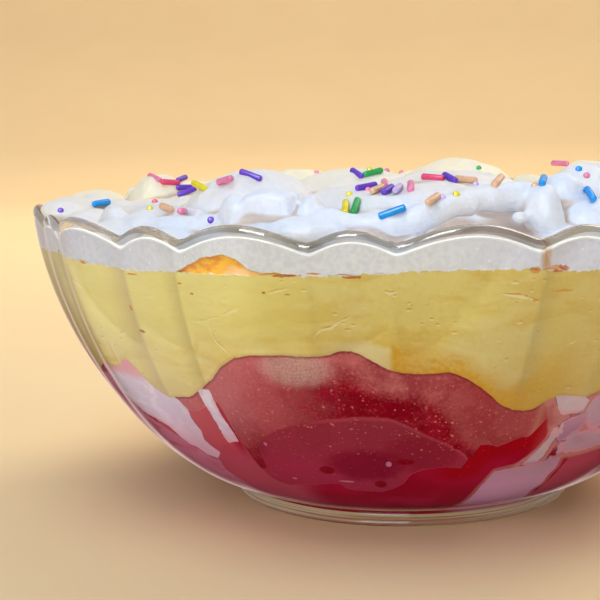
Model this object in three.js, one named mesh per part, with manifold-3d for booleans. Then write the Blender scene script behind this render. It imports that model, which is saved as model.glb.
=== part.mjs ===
// A trifle in its fluted glass bowl: jelly, red soaked sponge, custard and heaped cream.
// Millimetres, +Z up. The origin is on the ground under the middle of the bowl, and the front is -Y.
// Angles are in degrees, measured from the front (-Y) towards +X.

import * as THREE from 'three';
import { mergeVertices } from 'three/addons/utils/BufferGeometryUtils.js';
import Module from 'manifold-3d';

// The glass bowl.
const RIM_RADIUS = 113.9; // out to the crest of a wide flute
const RIM_CREST = 91.7; // height of the rim over a wide flute
const RIM_NARROW_CREST = 90.4; // the same over a narrow flute
const RIM_VALLEY = 87.3; // height of the rim where two flutes meet
const GLASS = 3.2; // wall thickness
const FLUTE_PAIRS = 12; // one wide and one narrow flute in each
const NARROW_FLUTE = 11.3; // degrees
const FIRST_VALLEY = 18.3; // degrees, where the first narrow flute begins
const FLUTE_DEPTH = 3.1; // how far a valley lies inside the crests, at the rim
const NARROW_BULGE = 0.8; // how far a narrow flute stands out of its valleys
const RIM_WAVE_FADE = 7; // how quickly the rim's wave dies away down the wall
const FOOT_RADIUS = 52.5;
const FOOT_HEIGHT = 4.7;
const FOOT_RING = 5; // width of the ring that touches the table
const FOOT_RECESS = 1.6; // depth of the hollow inside that ring
const FOOT_EDGE = 0.6; // chamfer of the ring
const FLOOR_DIP = 0.3; // how much lower the floor is in the middle

// The food inside it.
const GAP = 0.4; // between neighbouring solids
const SPONGE_TOP = 44.5; // level of the red layer at the glass between two slices
const SLICE_RISE = 15; // how much higher a slice of sponge reaches
const SLICE_STEP = 10; // how high its lower right shoulder is
const SLICE_LOW = 18; // level of a slice's low edge, on its left
const SLICE_LEAN = 16; // how much higher that edge is on its right
const SPONGE_THIN = 4; // thickness of the sponge at the glass between slices
const SPONGE_MIDDLE = [24, 52]; // its lower and upper level in the middle of the bowl
const CUSTARD_TOP = 79.8;
const CUSTARD_WAVE = 0.7;
const POCKET = { angle: -24, width: 5, height: 4 }; // a hollow under the cream's edge
const CREAM_EDGE = 3; // how far below the rim the cream leaves the glass
const CREAM_MIDDLE = 95; // level of the cream between its heaps, in the middle of the bowl
const BLEND = 1.6; // how softly two heaps run together
const CREAM_SHOULDER = 0.1; // share of the radius over which the cream rises from the glass

// Slices of sponge round the wall: the angle of the middle, and the width, in degrees.
const SLICES = [
  [-4.5, 53],
  [66, 46],
  [133, 50],
  [198, 46],
  [268, 48],
];

// Heaps of cream: x and y of the middle, height of the top, half length, half width, turn in degrees.
const HEAPS = [
  [-41, -48, 102.8, 22, 19, 8],
  [-35, -78, 97.8, 11, 8, 0],
  [-79, 30, 97.4, 12, 12, 0],
  [-95, -8, 94, 14, 28, 8],
  [-68, -58, 92.8, 20, 12, 42],
  [-14, 0, 100.4, 32, 22, -8],
  [20, 52, 101.2, 25, 20, 0],
  [-36, 62, 98.2, 22, 17, 20],
  [56, -36, 102.6, 21, 18, 0],
  [86, 4, 99.4, 18, 22, 0],
  [66, 46, 100.2, 20, 18, 30],
  [34, -80, 98.6, 10, 9, 0],
  [-64, 74, 95, 15, 12, -40],
  [6, 92, 95.5, 20, 10, 0],
];
const HEAP_DEPTH = 20; // how far below its top a heap is widest

// The long fold of cream along the front: its ends, and its half width.
const FOLD = { from: [-16, -86, 90.5], to: [30, -80, 98], halfWidth: 7.5, beads: 7 };

// Sugar sprinkles.
const SPRINKLE = { length: 7, radius: 0.95, sides: 5, sink: 0.45 };
const SPRINKLE_COUNT = 62;
const SPRINKLE_SEED = 11;
const SPRINKLE_REACH = 0.86; // share of the rim's radius that they cover
const SPRINKLE_SCATTER = 0.25; // radians
const GOLDEN_ANGLE = Math.PI * (3 - Math.sqrt(5));
const ABOVE_ALL = 200; // a height from which to look down on the cream

// How finely each surface is divided.
const WIDE_STEPS = 4;
const NARROW_STEPS = 2;
const OUTER_SHARES = [0.2, 0.3, 0.4, 0.5, 0.6, 0.7, 0.8, 0.88, 0.95, 1];
const INNER_SHARES = [0, 0.14, 0.28, 0.42, 0.56, 0.7, 0.84, 0.93, 1];
const RIM_STEPS = 4;
const LAYER_RINGS = [0.3, 0.62, 0.88];
const JELLY_SIDE = [0.02, 0.12, 0.3, 0.62, 1];
const SPONGE_SIDE = [0, 0.5, 1];
const CUSTARD_SIDE = [0, 0.35, 0.7, 1];
const CREAM_RINGS = [0.14, 0.26, 0.37, 0.47, 0.56, 0.64, 0.71, 0.78, 0.84, 0.9, 0.955];

const FLUTE_PAIR = 360 / FLUTE_PAIRS;
const WIDE_FLUTE = FLUTE_PAIR - NARROW_FLUTE;
const STATIONS = fluteStations();
const WALL_TOP = RIM_CREST - GLASS / 2;
const WALL_LINE = new THREE.CubicBezierCurve(
  new THREE.Vector2(49, 4.3),
  new THREE.Vector2(79.8, 8.2),
  new THREE.Vector2(111.1, 51.8),
  new THREE.Vector2(RIM_RADIUS, WALL_TOP),
);

const { degToRad, euclideanModulo, lerp, smoothstep } = THREE.MathUtils;

// Angles at which every solid has its vertices: the valleys and a few places on each flute.
function fluteStations() {
  const stations = [];
  for (let pair = 0; pair < FLUTE_PAIRS; pair += 1) {
    const start = FIRST_VALLEY + pair * FLUTE_PAIR;
    for (let step = 0; step < NARROW_STEPS; step += 1) {
      stations.push(start + (NARROW_FLUTE * step) / NARROW_STEPS);
    }
    for (let step = 0; step < WIDE_STEPS; step += 1) {
      stations.push(start + NARROW_FLUTE + (WIDE_FLUTE * step) / WIDE_STEPS);
    }
  }
  return stations;
}

// Which flute an angle falls in, and how far up its bulge it is, from 0 to 1.
function fluteAt(angle) {
  const along = euclideanModulo(angle - FIRST_VALLEY + 1e-6, FLUTE_PAIR);
  const narrow = along < NARROW_FLUTE;
  const share = narrow ? along / NARROW_FLUTE : (along - NARROW_FLUTE) / WIDE_FLUTE;
  return { narrow, rise: Math.sin(Math.PI * share) };
}

function rimHeight(angle) {
  const flute = fluteAt(angle);
  const crest = flute.narrow ? RIM_NARROW_CREST : RIM_CREST;
  return lerp(RIM_VALLEY, crest, flute.rise);
}

// A point of the wall as (radius, height), with share running from the foot, 0, to the rim, 1.
// depth is how far inside the outer face it lies.
function wallPoint(share, angle, depth = 0) {
  const spot = WALL_LINE.getPoint(share);
  const way = WALL_LINE.getTangent(share);
  const flute = fluteAt(angle);
  const bulge = flute.narrow ? NARROW_BULGE : FLUTE_DEPTH;
  const dip = (FLUTE_DEPTH - bulge * flute.rise) * smoothstep(share, 0, 1);
  const lift = (rimHeight(angle) - RIM_CREST) * share ** RIM_WAVE_FADE;
  return new THREE.Vector2(spot.x - dip - way.y * depth, spot.y + lift + way.x * depth);
}

// The radius of the food where it meets the glass at a height, GAP clear of the faceted wall.
function liningRadius(angle, height) {
  const line = INNER_SHARES.map((share) => wallPoint(share, angle, GLASS + GAP));
  let upper = line.findIndex((spot) => spot.y >= height);
  upper = upper < 0 ? line.length - 1 : Math.max(upper, 1);
  const below = line[upper - 1];
  const above = line[upper];
  return lerp(below.x, above.x, (height - below.y) / (above.y - below.y));
}

// One closed solid from rings of (radius, height) points, listed from the lower middle out,
// up the side and back in over the top. Diagonals always run outwards the same way, so that
// two surfaces that face each other are divided alike.
function solidOfRings(lowMiddle, rings, topMiddle) {
  const count = STATIONS.length;
  const positions = [0, 0, lowMiddle];
  const faces = [];
  for (const ring of rings) {
    STATIONS.forEach((angle, index) => {
      const turn = degToRad(angle);
      positions.push(ring[index].x * Math.sin(turn), -ring[index].x * Math.cos(turn), ring[index].y);
    });
  }
  const last = positions.length / 3;
  positions.push(0, 0, topMiddle);
  for (let side = 0; side < count; side += 1) {
    const next = (side + 1) % count;
    faces.push(0, 1 + next, 1 + side);
    for (let level = 0; level + 1 < rings.length; level += 1) {
      const low = 1 + level * count;
      const high = low + count;
      if (rings[level + 1][side].x < rings[level][side].x) {
        faces.push(low + side, low + next, high + side, low + next, high + next, high + side);
      } else {
        faces.push(low + side, low + next, high + next, low + side, high + next, high + side);
      }
    }
    const top = last - count;
    faces.push(top + side, top + next, last);
  }
  const geometry = new THREE.BufferGeometry();
  geometry.setAttribute('position', new THREE.Float32BufferAttribute(positions, 3));
  geometry.setIndex(faces);
  return geometry;
}

function ringOf(place) {
  return STATIONS.map((angle) => place(angle));
}

function roundRing(radius, height) {
  return ringOf(() => new THREE.Vector2(radius, height));
}

// Half a circle over the top of the wall, from its outer face to its inner face.
function rimRing(step) {
  const swing = (Math.PI * step) / RIM_STEPS;
  const depth = (GLASS * (1 - Math.cos(swing))) / 2;
  const rise = (GLASS * Math.sin(swing)) / 2;
  return ringOf((angle) => {
    const spot = wallPoint(1, angle, depth);
    return new THREE.Vector2(spot.x, spot.y + rise);
  });
}

function bowlGeometry() {
  const ringInside = FOOT_RADIUS - FOOT_RING;
  const rings = [
    roundRing(ringInside - FOOT_RECESS, FOOT_RECESS),
    roundRing(ringInside, 0),
    roundRing(FOOT_RADIUS - FOOT_EDGE, 0),
    roundRing(FOOT_RADIUS, FOOT_EDGE),
    roundRing(FOOT_RADIUS, FOOT_HEIGHT),
  ];
  for (const share of OUTER_SHARES) {
    rings.push(ringOf((angle) => wallPoint(share, angle)));
  }
  for (let step = 1; step < RIM_STEPS; step += 1) {
    rings.push(rimRing(step));
  }
  for (const share of [...INNER_SHARES].reverse()) {
    rings.push(ringOf((angle) => wallPoint(share, angle, GLASS)));
  }
  return solidOfRings(FOOT_RECESS, rings, floorLevel());
}

function floorLevel() {
  return wallPoint(0, 0, GLASS).y - FLOOR_DIP;
}

// A soft-shouldered bump round an angle, 1 in its middle.
function bump(angle, middle, halfWidth, power = 4) {
  const away = euclideanModulo(angle - middle + 180, 360) - 180;
  return Math.exp(-(Math.abs(away / halfWidth) ** power));
}

// The top of the red layer at the glass: each slice has a high left part and a lower right one.
function spongeTop(angle) {
  let level = SPONGE_TOP;
  for (const [middle, width] of SLICES) {
    level += SLICE_RISE * bump(angle, middle - 0.21 * width, 0.34 * width);
    level += SLICE_STEP * bump(angle, middle + 0.21 * width, 0.14 * width);
  }
  return level;
}

// The underside of the sponge at the glass: deep in a slice, and just under its top between slices.
function spongeBottom(angle) {
  let level = spongeTop(angle) - SPONGE_THIN;
  for (const [middle, width] of SLICES) {
    const away = euclideanModulo(angle - middle + 180, 360) - 180;
    const low = SLICE_LOW + SLICE_LEAN * smoothstep(away, -0.05 * width, 0.5 * width);
    level = lerp(level, low, bump(angle, middle, 0.5 * width, 10));
  }
  return level;
}

function custardTop(angle) {
  const turn = degToRad(angle);
  return CUSTARD_TOP + CUSTARD_WAVE * (Math.sin(5 * turn + 1) + 0.6 * Math.sin(11 * turn));
}

function creamBottom(angle) {
  return custardTop(angle) + GAP + POCKET.height * bump(angle, POCKET.angle, POCKET.width);
}

// A ring of a layer's boundary, partway from the middle of the bowl to the glass.
function boundaryRing(share, edge, middle, offset = 0) {
  return ringOf((angle) => {
    const level = edge(angle);
    const height = lerp(middle, level, share ** 2) + offset;
    return new THREE.Vector2(share * liningRadius(angle, level), height);
  });
}

// A ring against the glass, partway up from one boundary to the next.
function sideRing(share, low, high) {
  return ringOf((angle) => {
    const height = lerp(low(angle), high(angle), share);
    return new THREE.Vector2(liningRadius(angle, height), height);
  });
}

function layerGeometry(low, lowMiddle, high, highMiddle, sideShares) {
  const above = (angle) => low(angle) + GAP;
  const rings = [
    ...LAYER_RINGS.map((share) => boundaryRing(share, low, lowMiddle, GAP)),
    ...sideShares.map((share) => sideRing(share, above, high)),
    ...[...LAYER_RINGS].reverse().map((share) => boundaryRing(share, high, highMiddle)),
  ];
  return solidOfRings(lowMiddle + GAP, rings, highMiddle);
}

function jellyGeometry() {
  const lining = (angle) => wallPoint(0, angle, GLASS + GAP);
  const rings = [
    ringOf(lining),
    ...JELLY_SIDE.map((share) => sideRing(share, (angle) => lining(angle).y, spongeBottom)),
    ...[...LAYER_RINGS].reverse().map((share) => boundaryRing(share, spongeBottom, SPONGE_MIDDLE[0])),
  ];
  return solidOfRings(floorLevel() + GAP, rings, SPONGE_MIDDLE[0]);
}

function spongeGeometry() {
  return layerGeometry(spongeBottom, SPONGE_MIDDLE[0], spongeTop, SPONGE_MIDDLE[1], SPONGE_SIDE);
}

function custardGeometry() {
  return layerGeometry(spongeTop, SPONGE_MIDDLE[1], custardTop, CUSTARD_TOP, CUSTARD_SIDE);
}

// The top of a rounded heap over a place, or nothing where the heap doesn't reach.
function heapTop([x, y, top, halfLength, halfWidth, turn], placeX, placeY) {
  const cos = Math.cos(degToRad(turn));
  const sin = Math.sin(degToRad(turn));
  const along = ((placeX - x) * cos + (placeY - y) * sin) / halfLength;
  const across = ((placeY - y) * cos - (placeX - x) * sin) / halfWidth;
  const away = along * along + across * across;
  return away < 1 ? top - HEAP_DEPTH * (1 - Math.sqrt(1 - away)) : -Infinity;
}

// The long fold as a row of small heaps that rises along it.
function foldHeaps() {
  const heaps = [];
  for (let bead = 0; bead < FOLD.beads; bead += 1) {
    const share = bead / (FOLD.beads - 1);
    const [x, y, top] = FOLD.from.map((value, axis) => lerp(value, FOLD.to[axis], share));
    heaps.push([x, y, top, FOLD.halfWidth, FOLD.halfWidth, 0]);
  }
  return heaps;
}

const ALL_HEAPS = [...HEAPS, ...foldHeaps()];

// The cream's top over a place; edge is its level at the glass in that direction.
function creamTop(placeX, placeY, share, edge) {
  let level = lerp(CREAM_MIDDLE, edge, share ** 3);
  for (const heap of ALL_HEAPS) {
    const top = heapTop(heap, placeX, placeY);
    const higher = Math.max(level, top);
    level = higher + BLEND * Math.log1p(Math.exp(-Math.abs(level - top) / BLEND));
  }
  const settle = smoothstep(1 - share, 0, CREAM_SHOULDER);
  return lerp(edge, level, settle);
}

function creamCore() {
  const edge = (angle) => rimHeight(angle) - CREAM_EDGE;
  const topRing = (share) => ringOf((angle) => {
    const radius = share * liningRadius(angle, edge(angle));
    const turn = degToRad(angle);
    const height = creamTop(radius * Math.sin(turn), -radius * Math.cos(turn), share, edge(angle));
    return new THREE.Vector2(radius, height);
  });
  const underRing = (share) => boundaryRing(share, custardTop, CUSTARD_TOP, GAP);
  const rings = [
    ...LAYER_RINGS.map(underRing),
    sideRing(0, creamBottom, edge),
    sideRing(0.5, creamBottom, edge),
    sideRing(1, creamBottom, edge),
    ...[...CREAM_RINGS].reverse().map(topRing),
  ];
  return solidOfRings(CUSTARD_TOP + GAP, rings, creamTop(0, 0, 0, 0));
}

function manifoldOf(wasm, geometry) {
  const bare = geometry.clone();
  bare.deleteAttribute('normal');
  bare.deleteAttribute('uv');
  const merged = mergeVertices(bare, 1e-4);
  return new wasm.Manifold(new wasm.Mesh({
    numProp: 3,
    vertProperties: merged.getAttribute('position').array,
    triVerts: new Uint32Array(merged.getIndex().array),
  }));
}

function geometryOf(manifold) {
  const mesh = manifold.getMesh();
  const geometry = new THREE.BufferGeometry();
  geometry.setAttribute('position', new THREE.BufferAttribute(mesh.vertProperties, 3));
  geometry.setIndex(new THREE.BufferAttribute(mesh.triVerts, 1));
  return geometry;
}

// The height of the cream's surface over a place, found by a ray from above.
function surfaceUnder(core, x, y) {
  const ray = new THREE.Raycaster(new THREE.Vector3(x, y, ABOVE_ALL), new THREE.Vector3(0, 0, -1));
  return ray.intersectObject(core)[0].point.z;
}

// One sprinkle, lying along the cream's slope and sunk a little into its highest spot.
function sprinkleGeometry(core, x, y, turn) {
  const reach = SPRINKLE.length / 2;
  const shares = [-1, -0.5, 0, 0.5, 1];
  const levels = shares.map((share) => {
    const along = share * reach;
    return surfaceUnder(core, x + along * Math.cos(turn), y + along * Math.sin(turn));
  });
  const rise = (levels.at(-1) - levels[0]) / 2;
  const middle = Math.max(...levels.map((level, index) => level - rise * shares[index]));
  const rod = new THREE.CylinderGeometry(
    SPRINKLE.radius, SPRINKLE.radius, SPRINKLE.length, SPRINKLE.sides, 1,
  );
  const way = new THREE.Vector3(reach * Math.cos(turn), reach * Math.sin(turn), rise).normalize();
  rod.applyQuaternion(new THREE.Quaternion().setFromUnitVectors(new THREE.Vector3(0, 1, 0), way));
  return rod.translate(x, y, middle + SPRINKLE.radius - SPRINKLE.sink);
}

// Evenly spread places on a disc: the golden angle with a little seeded scatter.
function sprinklePlaces() {
  THREE.MathUtils.seededRandom(SPRINKLE_SEED);
  const places = [];
  for (let index = 0; index < SPRINKLE_COUNT; index += 1) {
    const radius = RIM_RADIUS * SPRINKLE_REACH * Math.sqrt((index + 0.5) / SPRINKLE_COUNT);
    const swing = index * GOLDEN_ANGLE + SPRINKLE_SCATTER * THREE.MathUtils.seededRandom();
    const turn = Math.PI * THREE.MathUtils.seededRandom();
    places.push([radius * Math.sin(swing), -radius * Math.cos(swing), turn]);
  }
  return places;
}

function creamGeometry(wasm) {
  const core = new THREE.Mesh(creamCore(), new THREE.MeshStandardMaterial());
  let cream = manifoldOf(wasm, core.geometry);
  for (const [x, y, turn] of sprinklePlaces()) {
    cream = cream.add(manifoldOf(wasm, sprinkleGeometry(core, x, y, turn)));
  }
  return geometryOf(cream);
}

function namedMesh(name, geometry, material) {
  const mesh = new THREE.Mesh(geometry, new THREE.MeshStandardMaterial(material));
  mesh.name = name;
  return mesh;
}

const wasm = await Module();
wasm.setup();

const trifle = new THREE.Group();
trifle.add(
  namedMesh('bowl', bowlGeometry(), { color: 0xe9eeee, roughness: 0.05, transparent: true, opacity: 0.35 }),
  namedMesh('jelly', jellyGeometry(), { color: 0x7c0418, roughness: 0.15 }),
  namedMesh('sponge', spongeGeometry(), { color: 0xb23a4a, roughness: 0.6 }),
  namedMesh('custard', custardGeometry(), { color: 0xe6cf78, roughness: 0.4 }),
  namedMesh('cream', creamGeometry(wasm), { color: 0xf6f3ef, roughness: 0.5 }),
);

export default trifle;
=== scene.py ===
# %% [markdown]
# # A trifle in its glass bowl
# A trifle is built up in a bowl: jelly with slices of soaked sponge at the bottom, custard over
# them, then whipped cream and sugar sprinkles. The bowl is clear pressed glass, so every layer
# shows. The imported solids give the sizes, and each of them gets its real surface here.

import math

import bpy
import numpy as np
from mathutils import Matrix, Vector, kdtree, noise
from mathutils.bvhtree import BVHTree


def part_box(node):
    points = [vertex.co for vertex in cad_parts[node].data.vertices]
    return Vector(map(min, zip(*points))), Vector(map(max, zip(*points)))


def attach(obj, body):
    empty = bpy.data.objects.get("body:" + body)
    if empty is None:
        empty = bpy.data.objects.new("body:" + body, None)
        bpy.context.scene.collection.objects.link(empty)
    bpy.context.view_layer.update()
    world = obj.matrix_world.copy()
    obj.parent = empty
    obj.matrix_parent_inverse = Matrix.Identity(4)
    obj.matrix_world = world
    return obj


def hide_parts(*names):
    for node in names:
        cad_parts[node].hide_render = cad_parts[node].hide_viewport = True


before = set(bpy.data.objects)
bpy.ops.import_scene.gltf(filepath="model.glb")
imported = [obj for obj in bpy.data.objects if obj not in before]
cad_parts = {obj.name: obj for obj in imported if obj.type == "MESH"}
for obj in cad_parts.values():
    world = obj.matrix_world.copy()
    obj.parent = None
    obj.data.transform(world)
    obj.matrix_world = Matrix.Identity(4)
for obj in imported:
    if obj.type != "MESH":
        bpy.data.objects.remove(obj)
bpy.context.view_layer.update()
MM = 0.001
bowl_low, bowl_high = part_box("bowl")
print("bowl is", round((bowl_high.z - bowl_low.z) / MM, 1), "mm high")


# %% [markdown]
# ## The camera
# The bowl is seen from a little above its rim and from close by, so near flutes look larger than
# far ones. The camera is turned by three angles: round the bowl, down, and a slight roll.

# %% Set the camera
IMAGE_SIDE = 600
CAMERA_PLACE = Vector((0, -0.4343, 0.1186))
CAMERA_YAW, CAMERA_DOWN, CAMERA_ROLL = (math.radians(turn) for turn in (4.21, 7.81, 1.07))
CAMERA_LENS = 82.43
SENSOR = 36

level_right = Vector((math.cos(CAMERA_YAW), math.sin(CAMERA_YAW), 0))
level_ahead = Vector((-math.sin(CAMERA_YAW), math.cos(CAMERA_YAW), 0))
ahead = math.cos(CAMERA_DOWN) * level_ahead - math.sin(CAMERA_DOWN) * Vector((0, 0, 1))
upward = math.sin(CAMERA_DOWN) * level_ahead + math.cos(CAMERA_DOWN) * Vector((0, 0, 1))
camera_right = math.cos(CAMERA_ROLL) * level_right - math.sin(CAMERA_ROLL) * upward
camera_up = math.sin(CAMERA_ROLL) * level_right + math.cos(CAMERA_ROLL) * upward

bpy.ops.object.camera_add()
camera = bpy.context.object
camera.data.lens = CAMERA_LENS
camera.data.sensor_width = SENSOR
turned_axes = Matrix((camera_right, camera_up, -ahead)).transposed().to_4x4()
camera.matrix_world = Matrix.Translation(CAMERA_PLACE) @ turned_axes
bpy.context.scene.camera = camera


def sight_line(pixel):
    """The direction in which the camera sees a pixel of the 600 by 600 image."""
    across = (pixel[0] - IMAGE_SIDE / 2) * SENSOR / CAMERA_LENS / IMAGE_SIDE
    up = (IMAGE_SIDE / 2 - pixel[1]) * SENSOR / CAMERA_LENS / IMAGE_SIDE
    return (ahead + camera_right * across + camera_up * up).normalized()


print("camera looks along", [round(part, 3) for part in ahead])


# %% [markdown]
# ## The shape of the bowl
# The wall is one long curve from the foot to the rim, pressed into flutes: twelve wide ones with
# a narrow one between each two. Lengths are in millimetres, and angles in degrees from the front
# (-Y) towards +X. The same formulas shape the glass and the food that lies against it.

# %% Sizes of the bowl
GLASS = 3.2
RIM_CREST, RIM_NARROW_CREST, RIM_VALLEY = 91.7, 90.4, 87.3
FLUTE_PAIRS = 12
FLUTE_PAIR = 360 / FLUTE_PAIRS
NARROW_FLUTE = 11.3
FIRST_VALLEY = 18.3
FLUTE_DEPTH, NARROW_BULGE = 3.1, 0.8
RIM_WAVE_FADE = 7
SOFT_CREASE = 0.16
HALVINGS = 20
HAIR = 1e-6
WALL_ENDS = np.array([(49, 4.3), (79.8, 8.2), (111.1, 51.8), (113.9, RIM_CREST - GLASS / 2)])


def station_angles(sides):
    """Angles of the vertices round a ring, with one on every valley between two flutes."""
    per_pair = sides // FLUTE_PAIRS
    narrow = round(per_pair * NARROW_FLUTE / FLUTE_PAIR)
    wide = per_pair - narrow
    first = NARROW_FLUTE * np.arange(narrow) / narrow
    second = NARROW_FLUTE + (FLUTE_PAIR - NARROW_FLUTE) * np.arange(wide) / wide
    starts = FIRST_VALLEY + FLUTE_PAIR * np.arange(FLUTE_PAIRS)
    return (starts[:, None] + np.concatenate([first, second])[None, :]).ravel()


def half_turn(angle):
    """The same angle, between -180 and 180."""
    return np.mod(angle + 180, 360) - 180


def flute_at(angle):
    """Whether an angle is on a narrow flute, and how far up the flute's bulge, 0 to 1."""
    along = np.mod(angle - FIRST_VALLEY + HAIR, FLUTE_PAIR)
    narrow = along < NARROW_FLUTE
    wide_share = (along - NARROW_FLUTE) / (FLUTE_PAIR - NARROW_FLUTE)
    share = np.where(narrow, along / NARROW_FLUTE, wide_share)
    rise = np.hypot(np.sin(np.pi * share), SOFT_CREASE) - SOFT_CREASE
    return narrow, rise / (np.hypot(1, SOFT_CREASE) - SOFT_CREASE)


def rim_height(angle):
    narrow, rise = flute_at(angle)
    return RIM_VALLEY + (np.where(narrow, RIM_NARROW_CREST, RIM_CREST) - RIM_VALLEY) * rise


def smooth_step(value, low, high):
    share = np.clip((value - low) / (high - low), 0, 1)
    return share * share * (3 - 2 * share)


def wall_point(share, angle, depth=0.0):
    """Radius and height on the wall, from foot (0) to rim (1), depth inside its outer face."""
    share = np.asarray(share, float)
    one, two, three, four = WALL_ENDS
    rest = 1 - share
    weights = (rest**3, 3 * rest**2 * share, 3 * rest * share**2, share**3)
    spot = [sum(w * end[axis] for w, end in zip(weights, WALL_ENDS)) for axis in (0, 1)]
    steps = (two - one, three - two, four - three)
    slopes = (rest**2, 2 * rest * share, share**2)
    way = [sum(w * step[axis] for w, step in zip(slopes, steps)) for axis in (0, 1)]
    length = np.hypot(*way)
    narrow, rise = flute_at(angle)
    bulge = np.where(narrow, NARROW_BULGE, FLUTE_DEPTH) * rise
    dip = (FLUTE_DEPTH - bulge) * smooth_step(share, 0, 1)
    lift = (rim_height(angle) - RIM_CREST) * share**RIM_WAVE_FADE
    radius = spot[0] - dip - way[1] / length * depth
    return radius, spot[1] + lift + way[0] / length * depth


def lining_radius(angle, height, reach):
    """Radius of food that reaches a little way into the glass, at a height."""
    low, high = np.zeros_like(height), np.ones_like(height)
    for _ in range(HALVINGS):
        middle = (low + high) / 2
        below = wall_point(middle, angle, GLASS - reach)[1] < height
        low, high = np.where(below, middle, low), np.where(below, high, middle)
    return wall_point(low, angle, GLASS - reach)[0]


print("rim radius", round(float(wall_point(1, np.array(39.0))[0]), 1), "mm")


# %% [markdown]
# ## Turning a shape
# A bowl is round, so one line of its section is drawn point by point and spun about the upright
# axis. A lathe curve or a screw modifier would do as well, but the spin leaves plain rings of
# vertices, and the flutes are then pressed in by moving each ring to its real radius and height.

# %% Helpers for making pieces
SAME_PLACE = 0.005
LOOKUP_PARTS = 40
CREASE_ANGLE = 40


def clear_selection():
    if bpy.context.object and bpy.context.object.mode != "OBJECT":
        bpy.ops.object.mode_set(mode="OBJECT")
    bpy.ops.object.select_all(action="DESELECT")


def work_on(piece):
    clear_selection()
    piece.select_set(True)
    bpy.context.view_layer.objects.active = piece


def coordinates(piece):
    """The piece's vertices in millimetres, one row each."""
    flat = np.empty(len(piece.data.vertices) * 3, np.float32)
    piece.data.vertices.foreach_get("co", flat)
    return flat.reshape(-1, 3).astype(float) / MM


def move_vertices(piece, places):
    piece.data.vertices.foreach_set("co", (places * MM).astype(np.float32).ravel())
    piece.data.update()


def normals_of(piece):
    """The direction in which the skin faces at each vertex, one row each."""
    flat = np.empty(len(piece.data.vertices) * 3, np.float32)
    piece.data.vertices.foreach_get("normal", flat)
    return flat.reshape(-1, 3)


def angles_of(places):
    """The angle of each place, in degrees from the front."""
    return np.degrees(np.arctan2(places[:, 0], -places[:, 1]))


def note(piece, name, values):
    """Keeps one number for each vertex, which a material can read."""
    layer = piece.data.attributes.new(name, "FLOAT", "POINT")
    layer.data.foreach_set("value", np.asarray(values, np.float32))


def apply_modifier(piece, kind, **settings):
    work_on(piece)
    bpy.ops.object.modifier_add(type=kind)
    modifier = piece.modifiers[-1]
    for setting, value in settings.items():
        setattr(modifier, setting, value)
    bpy.ops.object.modifier_apply(modifier=modifier.name)


# %% Ways to draw and turn a section
def draw_line(name, points):
    """A line of edges from point to point, left in edit mode."""
    clear_selection()
    bpy.ops.mesh.primitive_plane_add(size=MM)
    line = bpy.context.object
    line.name = name
    bpy.ops.object.mode_set(mode="EDIT")
    bpy.ops.mesh.merge(type="CENTER")
    bpy.ops.transform.translate(value=Vector(points[0]) * MM)
    for start, end in zip(points, points[1:]):
        step = (Vector(end) - Vector(start)) * MM
        bpy.ops.mesh.extrude_vertices_move(TRANSFORM_OT_translate={"value": step})
    return line


def spin_section(sides, same_place):
    """Spins the section that is being edited, and closes the seam and the middle."""
    bpy.ops.mesh.select_all(action="SELECT")
    bpy.ops.mesh.spin(steps=sides, angle=2 * math.pi, center=(0, 0, 0), axis=(0, 0, 1))
    bpy.ops.mesh.select_all(action="SELECT")
    bpy.ops.mesh.remove_doubles(threshold=same_place * MM)
    bpy.ops.mesh.normals_make_consistent(inside=False)
    bpy.ops.object.mode_set(mode="OBJECT")


def turn_shape(name, rings, sides):
    """Spins a section made of rings, then moves every vertex to where its ring says it is.

    A ring is a function from angles to radius and height. The nearest ring is looked up for a
    part of the vertices at a time, which keeps the table of distances small."""
    angles = station_angles(sides)
    section = [[float(part[0]) for part in ring(angles[:1])] for ring in rings]
    piece = draw_line(name, [(radius, 0, height) for radius, height in section])
    spin_section(sides, SAME_PLACE)
    places = coordinates(piece)
    steps = np.arctan2(places[:, 1], places[:, 0]) / (2 * math.pi / sides)
    station = np.round(steps).astype(int) % sides
    flat = np.stack([np.hypot(places[:, 0], places[:, 1]), places[:, 2]], axis=1)
    spots = np.array(section)
    parts = np.array_split(flat, LOOKUP_PARTS)
    ring_of = np.concatenate([((part[:, None] - spots[None]) ** 2).sum(2).argmin(1) for part in parts])
    radius, height = (np.empty(len(places)) for _ in range(2))
    for index, ring in enumerate(rings):
        ring_radius, ring_height = ring(angles)
        here = ring_of == index
        radius[here] = ring_radius[station[here]]
        height[here] = ring_height[station[here]]
    angle = angles[station]
    turn = np.radians(angle)
    move_vertices(piece, np.stack([radius * np.sin(turn), -radius * np.cos(turn), height], axis=1))
    return piece, angle, radius, height


def plain_ring(radius, height):
    return lambda angle: (np.full_like(angle, radius), np.full_like(angle, height))


def finish_piece(piece, node=None, sharp=CREASE_ANGLE):
    """Smooth shading, and what the frame needs to know of a piece."""
    work_on(piece)
    bpy.ops.object.shade_smooth_by_angle(angle=math.radians(sharp))
    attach(piece, "root")
    if node:
        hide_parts(node)
    print(piece.name, len(piece.data.polygons), "faces")


# %% [markdown]
# ## Glass bowl
# Pressed glass has a thick foot ring, a rounded rim and slightly soft flutes. The section goes
# round the outside, over the rim and back down the inside, so the wall has its real thickness
# and light bends through it as it should.

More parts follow.
